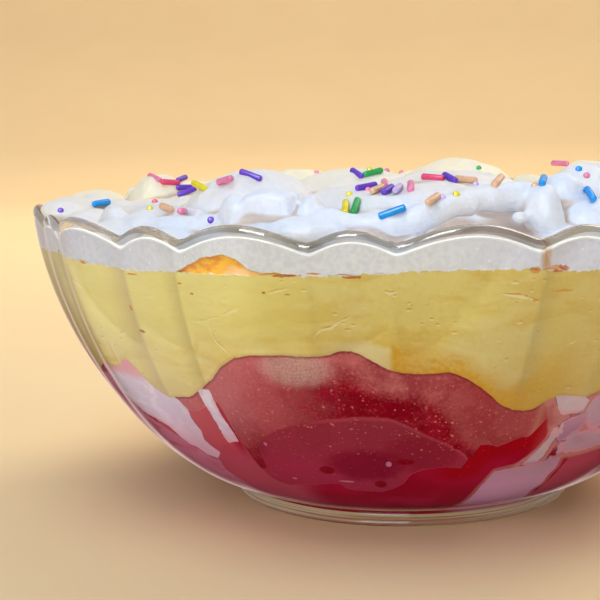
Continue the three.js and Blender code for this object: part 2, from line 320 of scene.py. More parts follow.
# %% Turn the bowl
BOWL_SIDES = 288
FOOT_LINE = [
    (0, 1.6), (24, 1.6), (44, 1.6), (45.9, 1.5), (46.8, 0.9), (47.4, 0.25), (48.4, 0), (51.2, 0),
    (52.0, 0.2), (52.4, 0.7), (52.45, 1.2), (52.2, 1.7), (52.15, 2.1), (52.45, 2.7), (52.5, 3.3),
    (52.3, 3.9), (52.2, 4.3), (52.8, 4.75),
]
OUTER_SHARES = np.concatenate([np.linspace(0.05, 0.85, 52), np.linspace(0.865, 1, 14)])
INNER_SHARES = np.concatenate([np.linspace(1, 0.865, 12), np.linspace(0.85, 0, 48)])
RIM_STEPS = 12
FOOT_MIDDLE = 50
FLOOR_LINE = [(40, 7.3), (24, 7.2), (0, 7.2)]


def wall_ring(share, depth):
    return lambda angle: wall_point(share, angle, depth)


def rim_ring(swing):
    """Part of the half circle over the top of the wall."""

    def place(angle):
        radius, height = wall_point(1, angle, GLASS * (1 - math.cos(swing)) / 2)
        return radius, height + GLASS * math.sin(swing) / 2

    return place


bowl_rings = [plain_ring(*spot) for spot in FOOT_LINE]
bowl_rings += [wall_ring(share, 0) for share in OUTER_SHARES]
bowl_rings += [rim_ring(math.pi * step / RIM_STEPS) for step in range(1, RIM_STEPS)]
bowl_rings += [wall_ring(share, GLASS) for share in INNER_SHARES]
bowl_rings += [plain_ring(*spot) for spot in FLOOR_LINE]
bowl, bowl_angle, bowl_radius, bowl_height = turn_shape("glass_bowl", bowl_rings, BOWL_SIDES)
below_rim = rim_height(bowl_angle) - bowl_height
finish_piece(bowl, "bowl", sharp=60)


# %% [markdown]
# ## Where the layers meet
# The layers are uneven where they meet the glass. Each edge is a line of heights round the bowl:
# five slices of sponge stand against the glass, with a gap of jelly between each two. A slice's
# outline is given once, across the slice from -1 to 1, and used for all five.

# %% Lines of the layers
SLICES = [(-4.5, 53), (66, 46), (133, 50), (198, 46), (268, 48)]
SLICE_TOP = [
    (-0.96, 50.5), (-0.85, 54.7), (-0.74, 57.6), (-0.66, 58.7), (-0.47, 59.1), (-0.32, 58.6),
    (-0.2, 59.3), (-0.14, 60.6), (-0.08, 60.5), (-0.02, 59.1), (0.06, 56.7), (0.11, 55.4),
    (0.2, 54.5), (0.31, 54.6), (0.44, 55.1), (0.53, 53), (0.63, 49.5), (0.73, 45.5), (0.82, 43.3),
    (0.9, 42.8), (0.97, 43.2),
]
SLICE_LOW = [
    (-0.985, 44), (-0.965, 38), (-0.948, 30), (-0.94, 26.4), (-0.915, 22), (-0.857, 19.1),
    (-0.78, 18.3), (-0.63, 19), (-0.37, 20.1), (-0.31, 20.2), (-0.27, 18.6), (-0.23, 18.1),
    (0, 17.7), (0.11, 19), (0.19, 21), (0.24, 24.4), (0.33, 26.1), (0.49, 26.9), (0.6, 26.2),
    (0.625, 28.4), (0.6, 31.6), (0.66, 33.6), (0.73, 33.5), (0.79, 32.4), (0.86, 33.4),
    (0.95, 34.8), (1.0, 34.6),
]
PLAIN_GAP = [
    (0.03, 45.2), (0.13, 46.6), (0.24, 46.2), (0.36, 45), (0.5, 46.6), (0.72, 45.6), (0.92, 46.8),
]
NOTCHED_GAP = [
    (0.1, 47), (0.27, 50.7), (0.37, 49.7), (0.47, 50.7), (0.53, 53.4), (0.555, 52.4), (0.585, 48.9),
    (0.62, 45.7), (0.67, 43.5), (0.71, 42.8), (0.76, 43.8), (0.86, 44.3), (0.92, 46.5),
]
GAP_SPONGE = 4
SPONGE_MIDDLE = (24, 52)
CUSTARD_TOP, CUSTARD_WAVE = 79.8, 0.7
COARSEST_FRAY, FRAY_WAVES = 40, 24
ANGLE_STEP = 0.1
THINNEST_SPONGE = 1.5


def gaps():
    """Start and end angle of each stretch between two slices."""
    ends = [(middle - width / 2, middle + width / 2) for middle, width in SLICES]
    following = [*ends[1:], (ends[0][0] + 360, ends[0][1] + 360)]
    return [(here[1], following_end[0]) for here, following_end in zip(ends, following)]


def smooth_line(points, softness=0.7):
    """A line of heights round the bowl, from points in any order, with its corners rounded."""
    ordered = sorted((angle % 360, height) for angle, height in points)
    places, heights = np.array(ordered).T
    fine = np.arange(0, 360, ANGLE_STEP)
    line = np.interp(fine, places, heights, period=360)
    reach = int(softness / ANGLE_STEP)
    window = np.hanning(2 * reach + 1)
    padded = np.concatenate([line[-reach:], line, line[:reach]])
    rounded = np.convolve(padded, window / window.sum(), mode="valid")
    return lambda angle: np.interp(angle, fine, rounded, period=360)


def frayed(seed, size, finest):
    """A small uneven waver, in millimetres, made of a few waves round the bowl."""
    draw = np.random.default_rng(seed)
    counts = draw.integers(COARSEST_FRAY, finest, FRAY_WAVES)
    phases = draw.uniform(0, 2 * math.pi, FRAY_WAVES)
    heights = (COARSEST_FRAY / counts) ** 0.4

    def waver(angle):
        turn = np.radians(angle)
        waves = zip(counts, phases, heights)
        return size * sum(np.sin(count * turn + phase) * high for count, phase, high in waves) / 5

    return waver


top_points, low_points = [], []
for middle, width in SLICES:
    for line, outline in ((top_points, SLICE_TOP), (low_points, SLICE_LOW)):
        line += [(middle + across * width / 2, height) for across, height in outline]
for number, (start, end) in enumerate(gaps()):
    outline = NOTCHED_GAP if number == len(SLICES) - 1 else PLAIN_GAP
    line = [(start + share * (end - start), height) for share, height in outline]
    top_points += line
    low_points += [(angle, height - GAP_SPONGE) for angle, height in line[1:-1]]

smooth_sponge_top = smooth_line(top_points, 0.8)
smooth_sponge_low = smooth_line(low_points, 0.5)
top_fray, low_fray, custard_fray = frayed(3, 0.2, 700), frayed(4, 0.14, 500), frayed(5, 0.3, 900)


def sponge_top(angle):
    return smooth_sponge_top(angle) + top_fray(angle)


def sponge_low(angle):
    return np.minimum(smooth_sponge_low(angle) + low_fray(angle), sponge_top(angle) - THINNEST_SPONGE)


def custard_top(angle):
    turn = np.radians(angle)
    waves = np.sin(5 * turn + 1) + 0.6 * np.sin(11 * turn)
    return CUSTARD_TOP + CUSTARD_WAVE * waves + custard_fray(angle)


print("top of the sponge at the front:", round(float(sponge_top(np.array(-4.0))), 1), "mm")


# %% [markdown]
# ## Jelly, sponge and custard
# Against glass no air gap may show, so each layer reaches a tenth of a millimetre or so into the
# wall. The upper layer of two is a hair nearer the outside and covers the edge of the lower one,
# which gives one clean line between them. Inside, each layer simply runs through the bowl.

# %% Turn the jelly, sponge and custard
FOOD_SIDES = 720
JELLY_REACH, SPONGE_REACH, CUSTARD_REACH, CREAM_REACH = 0.10, 0.15, 0.2, 0.25
TUCK = 0.6
LAYER_SHARES = (0.35, 0.7, 0.93)
JELLY_ROWS, SPONGE_ROWS, CUSTARD_ROWS, BAND_ROWS, ARCH_SHADE_ROWS = 40, 48, 44, 16, 8
FLOOR_LEVEL, FLOOR_RADIUS = 7.1, 24
UNDERLAP, OVERLAP = 0.2, 0.3


def side_ring(share, low, high, reach):
    """A ring against the glass, partway up from one line to another."""

    def place(angle):
        height = low(angle) + share * (high(angle) - low(angle))
        return lining_radius(angle, height, reach), height

    return place


def side_rings(low, high, reach, rows, lowest=0):
    """Rings against the glass, evenly spaced from one line up to another."""
    return [side_ring(share, low, high, reach) for share in np.linspace(lowest, 1, rows)]


def inner_ring(share, edge, middle, offset=0.0):
    """A ring of a layer's boundary, partway from the middle of the bowl to the glass."""

    def place(angle):
        level = edge(angle)
        radius = share * lining_radius(angle, level, 0)
        return radius, middle + (level - middle) * share**2 + offset

    return place


def layer_rings(low, low_middle, high, high_middle, reach, rows):
    """The section of a layer: out along its underside, up the glass and back over the top."""
    above = lambda angle: high(angle) + TUCK
    rings = [plain_ring(0, low_middle)]
    rings += [inner_ring(share, low, low_middle) for share in LAYER_SHARES]
    rings += side_rings(low, above, reach, rows)
    rings += [inner_ring(share, high, high_middle) for share in LAYER_SHARES[::-1]]
    return rings + [plain_ring(0, high_middle)]


def jelly_floor(angle):
    return wall_point(0, angle, GLASS)[1]


def floor_ring(angle):
    return wall_point(0, angle, GLASS - JELLY_REACH)


def jelly_top(angle):
    return sponge_low(angle) + TUCK


jelly_rings = [plain_ring(0, FLOOR_LEVEL), plain_ring(FLOOR_RADIUS, FLOOR_LEVEL), floor_ring]
jelly_rings += side_rings(jelly_floor, jelly_top, JELLY_REACH, JELLY_ROWS, 0.01)
jelly_rings += [inner_ring(share, sponge_low, SPONGE_MIDDLE[0], -UNDERLAP) for share in LAYER_SHARES[::-1]]
jelly_rings += [plain_ring(0, SPONGE_MIDDLE[0] - UNDERLAP)]
jelly, jelly_angle, _, jelly_height = turn_shape("jelly_layer", jelly_rings, FOOD_SIDES)
finish_piece(jelly, "jelly")

sponge_rings = layer_rings(
    sponge_low, SPONGE_MIDDLE[0], sponge_top, SPONGE_MIDDLE[1], SPONGE_REACH, SPONGE_ROWS
)
sponge, sponge_angle, _, sponge_height = turn_shape("soaked_sponge", sponge_rings, FOOD_SIDES)
finish_piece(sponge, "sponge")

custard_line = lambda angle: custard_top(angle) - TUCK
custard_low, custard_high = SPONGE_MIDDLE[1] + OVERLAP, CUSTARD_TOP - 1
custard_rings = layer_rings(sponge_top, custard_low, custard_line, custard_high, CUSTARD_REACH, CUSTARD_ROWS)
custard, custard_angle, _, custard_height = turn_shape("custard_layer", custard_rings, FOOD_SIDES)
finish_piece(custard, "custard")


# %% [markdown]
# ## Side of the cream
# The cream doesn't touch the custard everywhere: in one place it arches over a little hollow, and
# elsewhere thin seams are left. A thin orange piece fills the hollow; its orange is painted shade,
# the custard in the shade of the arch, with a painted shine. The side of the cream is a ring that
# lies against the glass, and the heaps above are made separately because they are not round at all.

# %% Turn the side of the cream and the piece of painted shade under its arch
POOL = [
    (-31.9, 0), (-30.9, 0.35), (-29.8, 1.3), (-28, 2.6), (-26.4, 3.9), (-24.2, 4.5), (-23.2, 5),
    (-22.2, 4.6), (-20.9, 3.7), (-20.2, 2.9), (-19.7, 1.9), (-18.5, 1.1), (-17.5, 0.7),
    (-15.2, 0.45), (-13.6, 0),
]
SEAMS = [
    (-50, 1.5, 0.4), (-7, 1.6, 0.5), (-2.5, 0.8, 0.3), (17, 0.8, 0.9), (20.2, 1.6, 1.2),
    (30, 1, 0.8),
]
SEAM_COUNT = 16
POOLS = [(0, 1), (170, 0.7)]
BAND_TOP, BAND_DEPTH, BAND_OVERLAP = 3.0, 14, 0.15
ARCH_SHADE_DEPTH, ARCH_SHADE_BELOW, ARCH_SHADE_ABOVE = 3, 2, 1.2
ARCH_SHADE_REACH = -0.7

seam_draw = np.random.default_rng(21)
for _ in range(SEAM_COUNT):
    SEAMS.append((seam_draw.uniform(48, 300), seam_draw.uniform(0.6, 2.2), seam_draw.uniform(0.3, 1.1)))


def opening(angle):
    """How far the cream stands off the custard, in millimetres."""
    pool_angles, pool_heights = np.array(POOL).T
    height = np.zeros_like(angle)
    for turn, scale in POOLS:
        turned = half_turn(angle - turn)
        height = height + scale * np.interp(turned, pool_angles, pool_heights, left=0, right=0)
    for middle, half_width, rise in SEAMS:
        away = half_turn(angle - middle) / half_width
        height = height + rise * np.exp(-(away**2) * 2)
    return height


def cream_low(angle):
    return custard_top(angle) - BAND_OVERLAP + opening(angle)


def cream_edge(angle):
    return rim_height(angle) - BAND_TOP


def set_in(ring, inwards, up):
    """The same ring, moved in and up."""

    def place(angle):
        radius, height = ring(angle)
        return radius - inwards, height + up

    return place


low_ring = side_ring(0, cream_low, cream_edge, CREAM_REACH)
high_ring = side_ring(1, cream_low, cream_edge, CREAM_REACH)
foot_of_band = set_in(low_ring, 0.35, -0.02)
band_rings = [foot_of_band]
band_rings += side_rings(cream_low, cream_edge, CREAM_REACH, BAND_ROWS, 0.02)
band_rings += [set_in(high_ring, *step) for step in ((0.5, 0.35), (1.4, 0.6), (5, -2.5), (BAND_DEPTH, -6))]
band_rings += [set_in(low_ring, BAND_DEPTH, 0.6), foot_of_band]
cream_side, side_angle, _, side_height = turn_shape("cream_side", band_rings, FOOD_SIDES)
finish_piece(cream_side, "cream")

arch_shade_low = lambda angle: custard_top(angle) - ARCH_SHADE_BELOW
arch_shade_high = lambda angle: cream_low(angle) + ARCH_SHADE_ABOVE
arch_shade_rings = side_rings(arch_shade_low, arch_shade_high, ARCH_SHADE_REACH, ARCH_SHADE_ROWS)
arch_shade_foot = arch_shade_rings[0]
arch_shade_rings += [set_in(arch_shade_rings[-1], ARCH_SHADE_DEPTH, 0), set_in(arch_shade_foot, ARCH_SHADE_DEPTH, 0), arch_shade_foot]
arch_shade, arch_shade_angle, _, arch_shade_height = turn_shape("arch_shade_fill", arch_shade_rings, FOOD_SIDES)
finish_piece(arch_shade)


# %% [markdown]
# ## Heaps of cream
# The cream was dropped on with a spoon, so it is a crowd of soft rounded heaps with creases where
# they run together. Sculpting by hand would do it, but here each heap is a squashed ball, each
# fold a tapered tube, and a voxel remesh melts them into one skin. A little smoothing rounds the
# creases, and a fine unevenness keeps it from looking like plastic.

# %% Places of the heaps and folds
HEAPS = [
    (-41, -48, 102.8, 22, 19, 8), (-81, 28, 98.6, 14, 12, 0), (-95, -8, 94, 14, 28, 8),
    (-68, -58, 92.8, 20, 12, 42), (-14, 0, 100.4, 32, 22, -8), (20, 52, 101.2, 25, 20, 0),
    (-36, 62, 98.2, 22, 17, 20), (56, -36, 102.6, 21, 18, 0), (86, 4, 99.4, 18, 22, 0),
    (66, 46, 100.2, 20, 18, 30), (-64, 74, 95, 15, 12, -40), (6, 92, 95.5, 20, 10, 0),
]
HEAP_DEPTH = 20
LOBES = [
    (-41.9, -87, 98.7, 3.4, 6, 5.6, 20), (-32.4, -88, 99.2, 7, 6.6, 6.2, -12, 0.55),
    (-21.9, -90.5, 98.6, 3, 6, 6, -10), (-17.6, -94, 95, 4.8, 6, 4.2, 20),
    (-23, -97, 92.7, 10, 9, 3.2, -12), (-34, -93, 92, 8, 6, 2.8, 18),
    (36, -88, 100, 5, 6.5, 7.2, 10), (29.4, -92.5, 93.2, 1.9, 2.6, 1.5, 0),
    (48.5, -82, 95.6, 8, 7.5, 5.4, 20), (41.5, -75, 102.2, 6.5, 8, 6.5, 10),
    (49, -62, 103, 9, 9, 8, 0), (60, -78, 94, 9, 8, 5, 30), (0, -46, 98.6, 30, 23, 7.5, 0),
    (30, -58, 98.2, 20, 16, 6, -20), (14, -30, 100.6, 24, 16, 8, 10),
    (-90, -37, 91.9, 9, 8, 5.2, 60), (-80, -55, 93.6, 3.4, 7, 5.4, 40),
    (-100, -20, 90.2, 8, 5, 4, 80), (-88, -14, 92.8, 8, 7, 5, 40), (-60, -40, 95, 10, 8, 6, 0),
    (-100, -20, 93.6, 9, 16, 3.6, 0), (-99, 10, 94, 9, 16, 3.6, 0),
]
FOLDS = [
    [(-19, -96, 90.6, 2.6), (-13.5, -96.5, 91.2, 2.8), (-7, -97, 90.8, 3), (-1, -97.5, 90.4, 3.6),
     (5, -96.5, 92, 3.7), (10, -94, 93.7, 3.4), (15, -91.5, 95.3, 2.9), (21, -88.5, 96, 3.2),
     (27.5, -85.5, 96.4, 3.8), (34, -82, 96, 4.2)],
    [(-80, -37, 90, 2), (-71, -48, 91.4, 2.1), (-66.5, -53.5, 91.3, 2.1), (-62, -59, 91, 2),
     (-53, -69, 91, 2)],
    [(-74, -63, 88.2, 2.6), (-65, -72, 89.8, 2.8), (-60, -77, 89, 2.8), (-53, -80.5, 89.5, 2.6),
     (-47, -84, 90.4, 2.6), (-40, -88.5, 90.4, 2.4)],
    [(70, -68, 93, 3.5), (82, -52, 95, 4.5), (88, -43, 94.6, 4.3), (92, -34, 94, 4),
     (97, -14, 91.5, 3.5)],
    [(95, 20, 89.5, 4), (84, 44, 90.5, 5), (76, 55, 90.4, 4.8), (66, 66, 90.2, 4.5),
     (44, 84, 89.5, 4)],
    [(-30, 88, 89.5, 4), (-54, 76, 90, 5), (-66, 66, 90, 4.8), (-76, 56, 90, 4.5),
     (-92, 34, 90, 3.5)],
]
BASE_MIDDLE = 93
DENT_ANGLE, DENT_HALF_WIDTH, DENT_DEPTH = 12.2, 8.6, 4.8
DENT_SHARE, DENT_SPREAD, DENT_FLOOR = 0.91, 0.13, 84.2
BASE_FLOOR, BASE_FLOOR_RADIUS, BASE_SIDES = 80, 60, 144
BASE_REACH, BASE_RISE = -0.5, 0.2
BASE_SHARES = (1, 0.97, 0.94, 0.91, 0.88, 0.84, 0.8, 0.75, 0.7, 0.65, 0.5, 0.25)
BALL_SEGMENTS, BALL_RINGS, TUBE_ROUNDNESS = 64, 32, 6
VOXEL = 0.85

print(len(HEAPS), "heaps,", len(LOBES), "lobes and", len(FOLDS), "folds")


# %% Ways to drop cream
def joined(pieces, name):
    clear_selection()
    for piece in pieces:
        piece.select_set(True)
    bpy.context.view_layer.objects.active = pieces[0]
    bpy.ops.object.join()
    bpy.ops.object.transform_apply(location=True, rotation=True, scale=True)
    pieces[0].name = name
    return pieces[0]


def dollop(x, y, top, half_length, half_width, half_height, turn, boxiness=0.0):
    """A squashed ball of cream, turned on the spot. Some are pressed towards a box."""
    clear_selection()
    bpy.ops.mesh.primitive_uv_sphere_add(
        segments=BALL_SEGMENTS, ring_count=BALL_RINGS, radius=MM,
        location=(x * MM, y * MM, (top - half_height) * MM),
        rotation=(0, 0, math.radians(turn)), scale=(half_length, half_width, half_height),
    )
    ball = bpy.context.object
    if boxiness:
        apply_modifier(ball, "CAST", cast_type="CUBOID", factor=boxiness)
    return ball


def fold(points):
    """A tube of cream that swells and thins along its way.

    A new path has five points and can't be given fewer, so every fold has at least five."""
    clear_selection()
    bpy.ops.curve.primitive_nurbs_path_add()
    path = bpy.context.object
    spline = path.data.splines[0]
    spline.points.add(len(points) - len(spline.points))
    for point, (x, y, height, radius) in zip(spline.points, points):
        point.co = (x * MM, y * MM, height * MM, 1)
        point.radius = radius
    path.data.bevel_depth = MM
    path.data.bevel_resolution = TUBE_ROUNDNESS
    path.data.use_fill_caps = True
    bpy.ops.object.convert(target="MESH")
    return bpy.context.object


def dent_at(angle):
    """1 in the hollow under the long fold at the front, and 0 away from it."""
    away = half_turn(angle - DENT_ANGLE) / DENT_HALF_WIDTH
    return np.exp(-(away**4))


def base_ring(share):
    """A ring of the low mound that the heaps stand on, with the hollow pressed into it."""

    def place(angle):
        edge = cream_edge(angle) + BASE_RISE
        dent = DENT_DEPTH * dent_at(angle) * math.exp(-(((share - DENT_SHARE) / DENT_SPREAD) ** 4))
        height = BASE_MIDDLE + (edge - BASE_MIDDLE) * share**4
        height = np.maximum(height - dent, np.minimum(height, DENT_FLOOR))
        return share * lining_radius(angle, edge, BASE_REACH), height

    return place


print("the base of the cream is", BASE_MIDDLE - BASE_FLOOR, "mm deep in the middle")


# %% Drop the heaps
flat_floor = lambda angle: angle * 0 + BASE_FLOOR
base_rings = [plain_ring(0, BASE_FLOOR), plain_ring(BASE_FLOOR_RADIUS, BASE_FLOOR)]
base_rings += [side_ring(0, flat_floor, cream_edge, BASE_REACH)]
base_rings += [base_ring(share) for share in BASE_SHARES] + [plain_ring(0, BASE_MIDDLE)]
cream_parts = [turn_shape("cream_base", base_rings, BASE_SIDES)[0]]
cream_parts += [dollop(*heap[:5], HEAP_DEPTH, heap[5]) for heap in HEAPS]
cream_parts += [dollop(*lobe) for lobe in LOBES]
cream_parts += [fold(points) for points in FOLDS]
heaps = joined(cream_parts, "cream_heaps")
apply_modifier(heaps, "REMESH", mode="VOXEL", voxel_size=VOXEL * MM)
print("cream skin has", len(heaps.data.polygons), "faces")


# %% [markdown]
# The heaps are melted together. Now the skin is smoothed, made uneven by a slow and a fine noise,
# and held inside the glass. The part that is hidden in the bowl is cut away flat.

# %% Smooth the cream and hold it inside the glass
SMOOTH_ROUNDS, SMOOTH_SHARE = 3, 0.5
SLOW_WAVE, SLOW_SIZE = 0.9, 13
FINE_WAVE, FINE_SIZE = 0.3, 4
HIDDEN_LEVEL = 83.5
RIM_CLEARANCE = 0.35
SPILL_HEIGHT, SPILL_SLOPE = 0.6, 1.4
NOISE_SEED = 5

apply_modifier(heaps, "SMOOTH", factor=SMOOTH_SHARE, iterations=SMOOTH_ROUNDS)
noise.seed_set(NOISE_SEED)


def ridged(place, size):
    """Soft ridges, like the marks a spoon leaves: 1 on a ridge and less beside it."""
    bent = place / size
    bent = bent + noise.noise_vector(bent * 0.6) * 0.8
    return 1 - 2 * abs(noise.noise(bent))


def unevenness(place):
    """How far the skin stands out at a place, in millimetres."""
    slow = SLOW_WAVE * (ridged(place, SLOW_SIZE) - 0.5)
    return slow + FINE_WAVE * noise.noise(place / FINE_SIZE)


places = coordinates(heaps)
shift = np.array([unevenness(Vector(place)) for place in places])
places += normals_of(heaps) * shift[:, None]
turns = angles_of(places)
reach_out = np.hypot(places[:, 0], places[:, 1])
over_wall = np.clip(places[:, 2] - rim_height(turns) + GLASS / 2, 0, None)
wall_top = rim_height(turns) - GLASS / 2
limit = lining_radius(turns, np.minimum(places[:, 2], wall_top - 0.1), -RIM_CLEARANCE)
half_round = np.sqrt(np.clip((GLASS / 2) ** 2 - over_wall**2, 0, None))
limit += np.where(over_wall > 0, GLASS / 2 - half_round, 0)
limit += np.clip(over_wall - GLASS / 2, 0, SPILL_HEIGHT) * SPILL_SLOPE
share = np.minimum(1, limit / np.maximum(reach_out, HAIR))
places[:, :2] *= share[:, None]
move_vertices(heaps, places)
apply_modifier(heaps, "SMOOTH", factor=SMOOTH_SHARE, iterations=1)
print("cream reaches", round(places[:, 2].max(), 1), "mm up")


# %% Measure the creases of the cream, where it gets painted shade
HOLLOW_ROUNDS = 40
UNDER_FOLD_RADIUS, UNDER_FOLD_HEIGHT, UNDER_FOLD_SHADE = (70, 76), (91, 92.5), 0.75
RIM_FADE = (-2.5, 0.5)

edge_ends = np.empty(len(heaps.data.edges) * 2, np.int32)
heaps.data.edges.foreach_get("vertices", edge_ends)
starts, ends = edge_ends.reshape(-1, 2).T
places = coordinates(heaps)
spread = places.copy()
neighbours = np.bincount(starts, minlength=len(places)) + np.bincount(ends, minlength=len(places))
for _ in range(HOLLOW_ROUNDS):
    onwards = [np.bincount(starts, spread[ends, axis], len(places)) for axis in range(3)]
    backwards = [np.bincount(ends, spread[starts, axis], len(places)) for axis in range(3)]
    spread = (np.array(onwards) + np.array(backwards)).T / neighbours[:, None]
# How deep each place lies in a crease; the cream gets painted shade there, and more under the long fold at
# the front.
hollow = ((spread - places) * normals_of(heaps)).sum(1)
turns = angles_of(places)
outer = smooth_step(np.hypot(*places[:, :2].T), *UNDER_FOLD_RADIUS)
lower = 1 - smooth_step(places[:, 2], *UNDER_FOLD_HEIGHT)
clear_of_rim = smooth_step(places[:, 2] - rim_height(turns), *RIM_FADE)
note(heaps, "hollow", hollow * clear_of_rim + dent_at(turns) * outer * lower * UNDER_FOLD_SHADE)

work_on(heaps)
bpy.ops.object.mode_set(mode="EDIT")
bpy.ops.mesh.select_all(action="SELECT")
bpy.ops.mesh.bisect(
    plane_co=(0, 0, HIDDEN_LEVEL * MM), plane_no=(0, 0, 1), use_fill=True, clear_inner=True
)
bpy.ops.object.mode_set(mode="OBJECT")
finish_piece(heaps, "cream", sharp=80)


# %% [markdown]
# ## Notes for the materials
# A material can't know how far a place is from an uneven edge, so that is measured here and kept
# as a number on each vertex: the distance to the sponge's edges, the place across a slice, how
# deep inside an air pocket, and the place beside a crack in the custard.

# %% Measure the edges of the sponge
def edge_tree(line):
    """Places along an edge at the glass, for finding the nearest one."""
    angle = np.arange(0, 360, ANGLE_STEP)
    height = line(angle)
    radius = lining_radius(angle, height, 0)
    tree = kdtree.KDTree(len(angle))
    turn = np.radians(angle)
    for index, spot in enumerate(zip(radius * np.sin(turn), -radius * np.cos(turn), height)):
        tree.insert(spot, index)
    tree.balance()
    return tree


def distance_to(tree, piece):
    return np.array([tree.find(spot)[2] for spot in coordinates(piece)])


def across_slice(angle):
    """-1 at a slice's left end, 1 at its right end, and beyond that in the gaps."""
    best = np.full_like(angle, np.inf)
    for middle, width in SLICES:
        across = half_turn(angle - middle) / (width / 2)
        best = np.where(np.abs(across) < np.abs(best), across, best)
    return best


EDGES = [("from_low", sponge_low, (sponge, jelly)), ("from_top", sponge_top, (sponge, custard))]
for name, line, pieces in EDGES:
    tree = edge_tree(line)
    for piece in pieces:
        note(piece, name, distance_to(tree, piece))
for piece, angle in ((sponge, sponge_angle), (jelly, jelly_angle), (custard, custard_angle)):
    note(piece, "across", across_slice(angle))
print("distances kept on", len(sponge.data.vertices), "sponge vertices")


# %% [markdown]
# Where jelly and sponge have drawn away from the glass there is a thin film of air. To the left of
# the front slice it is one long silvery lilac pocket. To its right it is a cluster of cells with
# pink skin between them, each as pale as its film is thick. The silvery pale of a film is a painted
# reflection of the air gap, and the pink skin is the jelly's own colour. The outlines are given as
# angle and height, and the cells come again in the other gaps.

# %% Outlines of the air pockets
CELLS = [
    (1.0, [(23.6, 48), (26, 48.2), (29, 46.5), (31, 44), (30.6, 41.4), (28.6, 40.5), (26.4, 40.6),
        (25.2, 43)]),
    (0.4, [(31.3, 40.3), (31.4, 42.1), (31.8, 44), (32.6, 46), (35.5, 46.4), (40, 42), (41, 36.8),
        (35.5, 35.8), (33.7, 35.2), (32.2, 37.5)]),
    (-1, [(28.1, 27.2), (28.1, 30), (29.2, 31.7), (30.4, 31.4), (30.2, 29.5), (30.6, 28),
        (29, 27)]),
    (0.1, [(27.1, 38.2), (28.6, 39.4), (31, 40), (31.9, 38.2), (32.1, 35.4), (30.5, 32.4),
        (28.2, 32.2), (27.3, 35)]),
    (0.45, [(29.7, 30.9), (30.7, 33.5), (33.2, 34.6), (35.4, 35), (39.4, 34.6), (39.6, 29.5),
        (36.6, 28.6), (34.6, 27.9), (31.9, 27.8), (30.1, 29)]),
    (0.9, [(26.1, 36.8), (26.9, 37.4), (27.5, 35.2), (27.1, 31.8), (27, 28), (26.1, 25.7),
        (22.9, 25.5), (24.1, 27.8), (25.2, 31.2), (25.9, 33.9)]),
    (0.3, [(15.9, 15.8), (16.9, 20.7), (18, 24), (21.5, 24.9), (26, 25.3), (29.4, 26.6),
        (31.5, 26.7), (32.2, 23.2), (31.8, 20.6), (32.5, 17.2), (31.2, 15.2), (32.8, 12.8),
        (32.7, 8), (23.6, 8), (13, 8), (12.3, 9.9), (15, 12)]),
]
CLUSTER = [
    (21.6, 48), (23.2, 42.5), (24.6, 38), (25.4, 34.5), (25.2, 32), (23, 28), (21, 25.5),
    (22, 24.4), (31, 26), (33.5, 26), (37, 27), (41.5, 28.5), (43, 36), (42, 42), (38, 48),
]
LEFT_POCKETS = [
    [(-62, 53), (-57, 58), (-46, 58), (-44.6, 50), (-43.4, 46), (-41.6, 44), (-39.6, 43),
     (-38.6, 40), (-39, 37), (-38.5, 33.6), (-39.4, 30.5), (-38.6, 28.4), (-37.4, 26.8),
     (-40, 24.6), (-42.6, 25.2), (-43.9, 27), (-45.6, 27.4), (-47, 30.1), (-47.5, 33),
     (-49.7, 34.8), (-53.4, 36.6), (-56, 40.5), (-59, 44.6), (-62, 47)],
    [(-33.8, 47), (-31.6, 47), (-31.4, 41.2), (-30.9, 36.4), (-30.1, 32.2), (-33.1, 31.2),
     (-33.3, 36.1), (-33.5, 41.8)],
]
VEIL = [
    (-38, 27), (-39.6, 24), (-41, 20), (-39, 16), (-38, 12), (-60, 12), (-76, 28), (-76, 42),
    (-62, 46), (-57, 40), (-50, 33), (-45, 27.5),
]
GAP_STARTS = [start for start, _ in gaps()]
POCKET_TURNS = [start - GAP_STARTS[0] for start in GAP_STARTS[:4]]
OUTSIDE = -6.0
POCKET_WINDOW = 25

print(len(CELLS), "cells in each of", len(POCKET_TURNS), "gaps")


# %% Measure the air pockets
def depth_inside(across, up, outline):
    """How deep inside an outline each place lies, and less than nothing outside it."""
    corners = np.array(outline)
    nearest = np.full(across.shape, 1e9)
    inside = np.zeros(across.shape, bool)
    for (x0, y0), (x1, y1) in zip(corners, np.roll(corners, -1, axis=0)):
        side, rise = x1 - x0, y1 - y0
        along = ((across - x0) * side + (up - y0) * rise) / (side**2 + rise**2)
        along = np.clip(along, 0, 1)
        nearest = np.minimum(nearest, np.hypot(across - x0 - along * side, up - y0 - along * rise))
        crosses = (y0 > up) != (y1 > up)
        level = x0 + (up - y0) * side / (rise if rise else 1e-9)
        inside ^= crosses & (across < level)
    return np.where(inside, nearest, -nearest)


def pocket_depth(angle, height, outlines):
    """Depth inside the nearest of several pockets, measured along the glass."""
    deepest = np.full(angle.shape, OUTSIDE)
    for outline in outlines:
        middle = np.mean([spot[0] for spot in outline])
        turned = half_turn(angle - middle)
        here = np.flatnonzero(np.abs(turned) < POCKET_WINDOW)
        arc = np.radians(turned[here]) * lining_radius(angle[here], height[here], 0)
        angles, heights = np.array(outline).T
        arcs = np.radians(angles - middle) * lining_radius(angles, heights, 0)
        depth = depth_inside(arc, height[here], np.stack([arcs, heights], axis=1))
        deepest[here] = np.maximum(deepest[here], depth)
    return deepest


def turned_by(turn, outline):
    return [(angle + turn, height) for angle, height in outline]


def paleness(angle, height):
    """How pale the cell is in which each place lies."""
    pale = np.zeros(angle.shape)
    for turn in POCKET_TURNS:
        for share, outline in CELLS:
            pale = np.where(pocket_depth(angle, height, [turned_by(turn, outline)]) > -1, share, pale)
    return pale


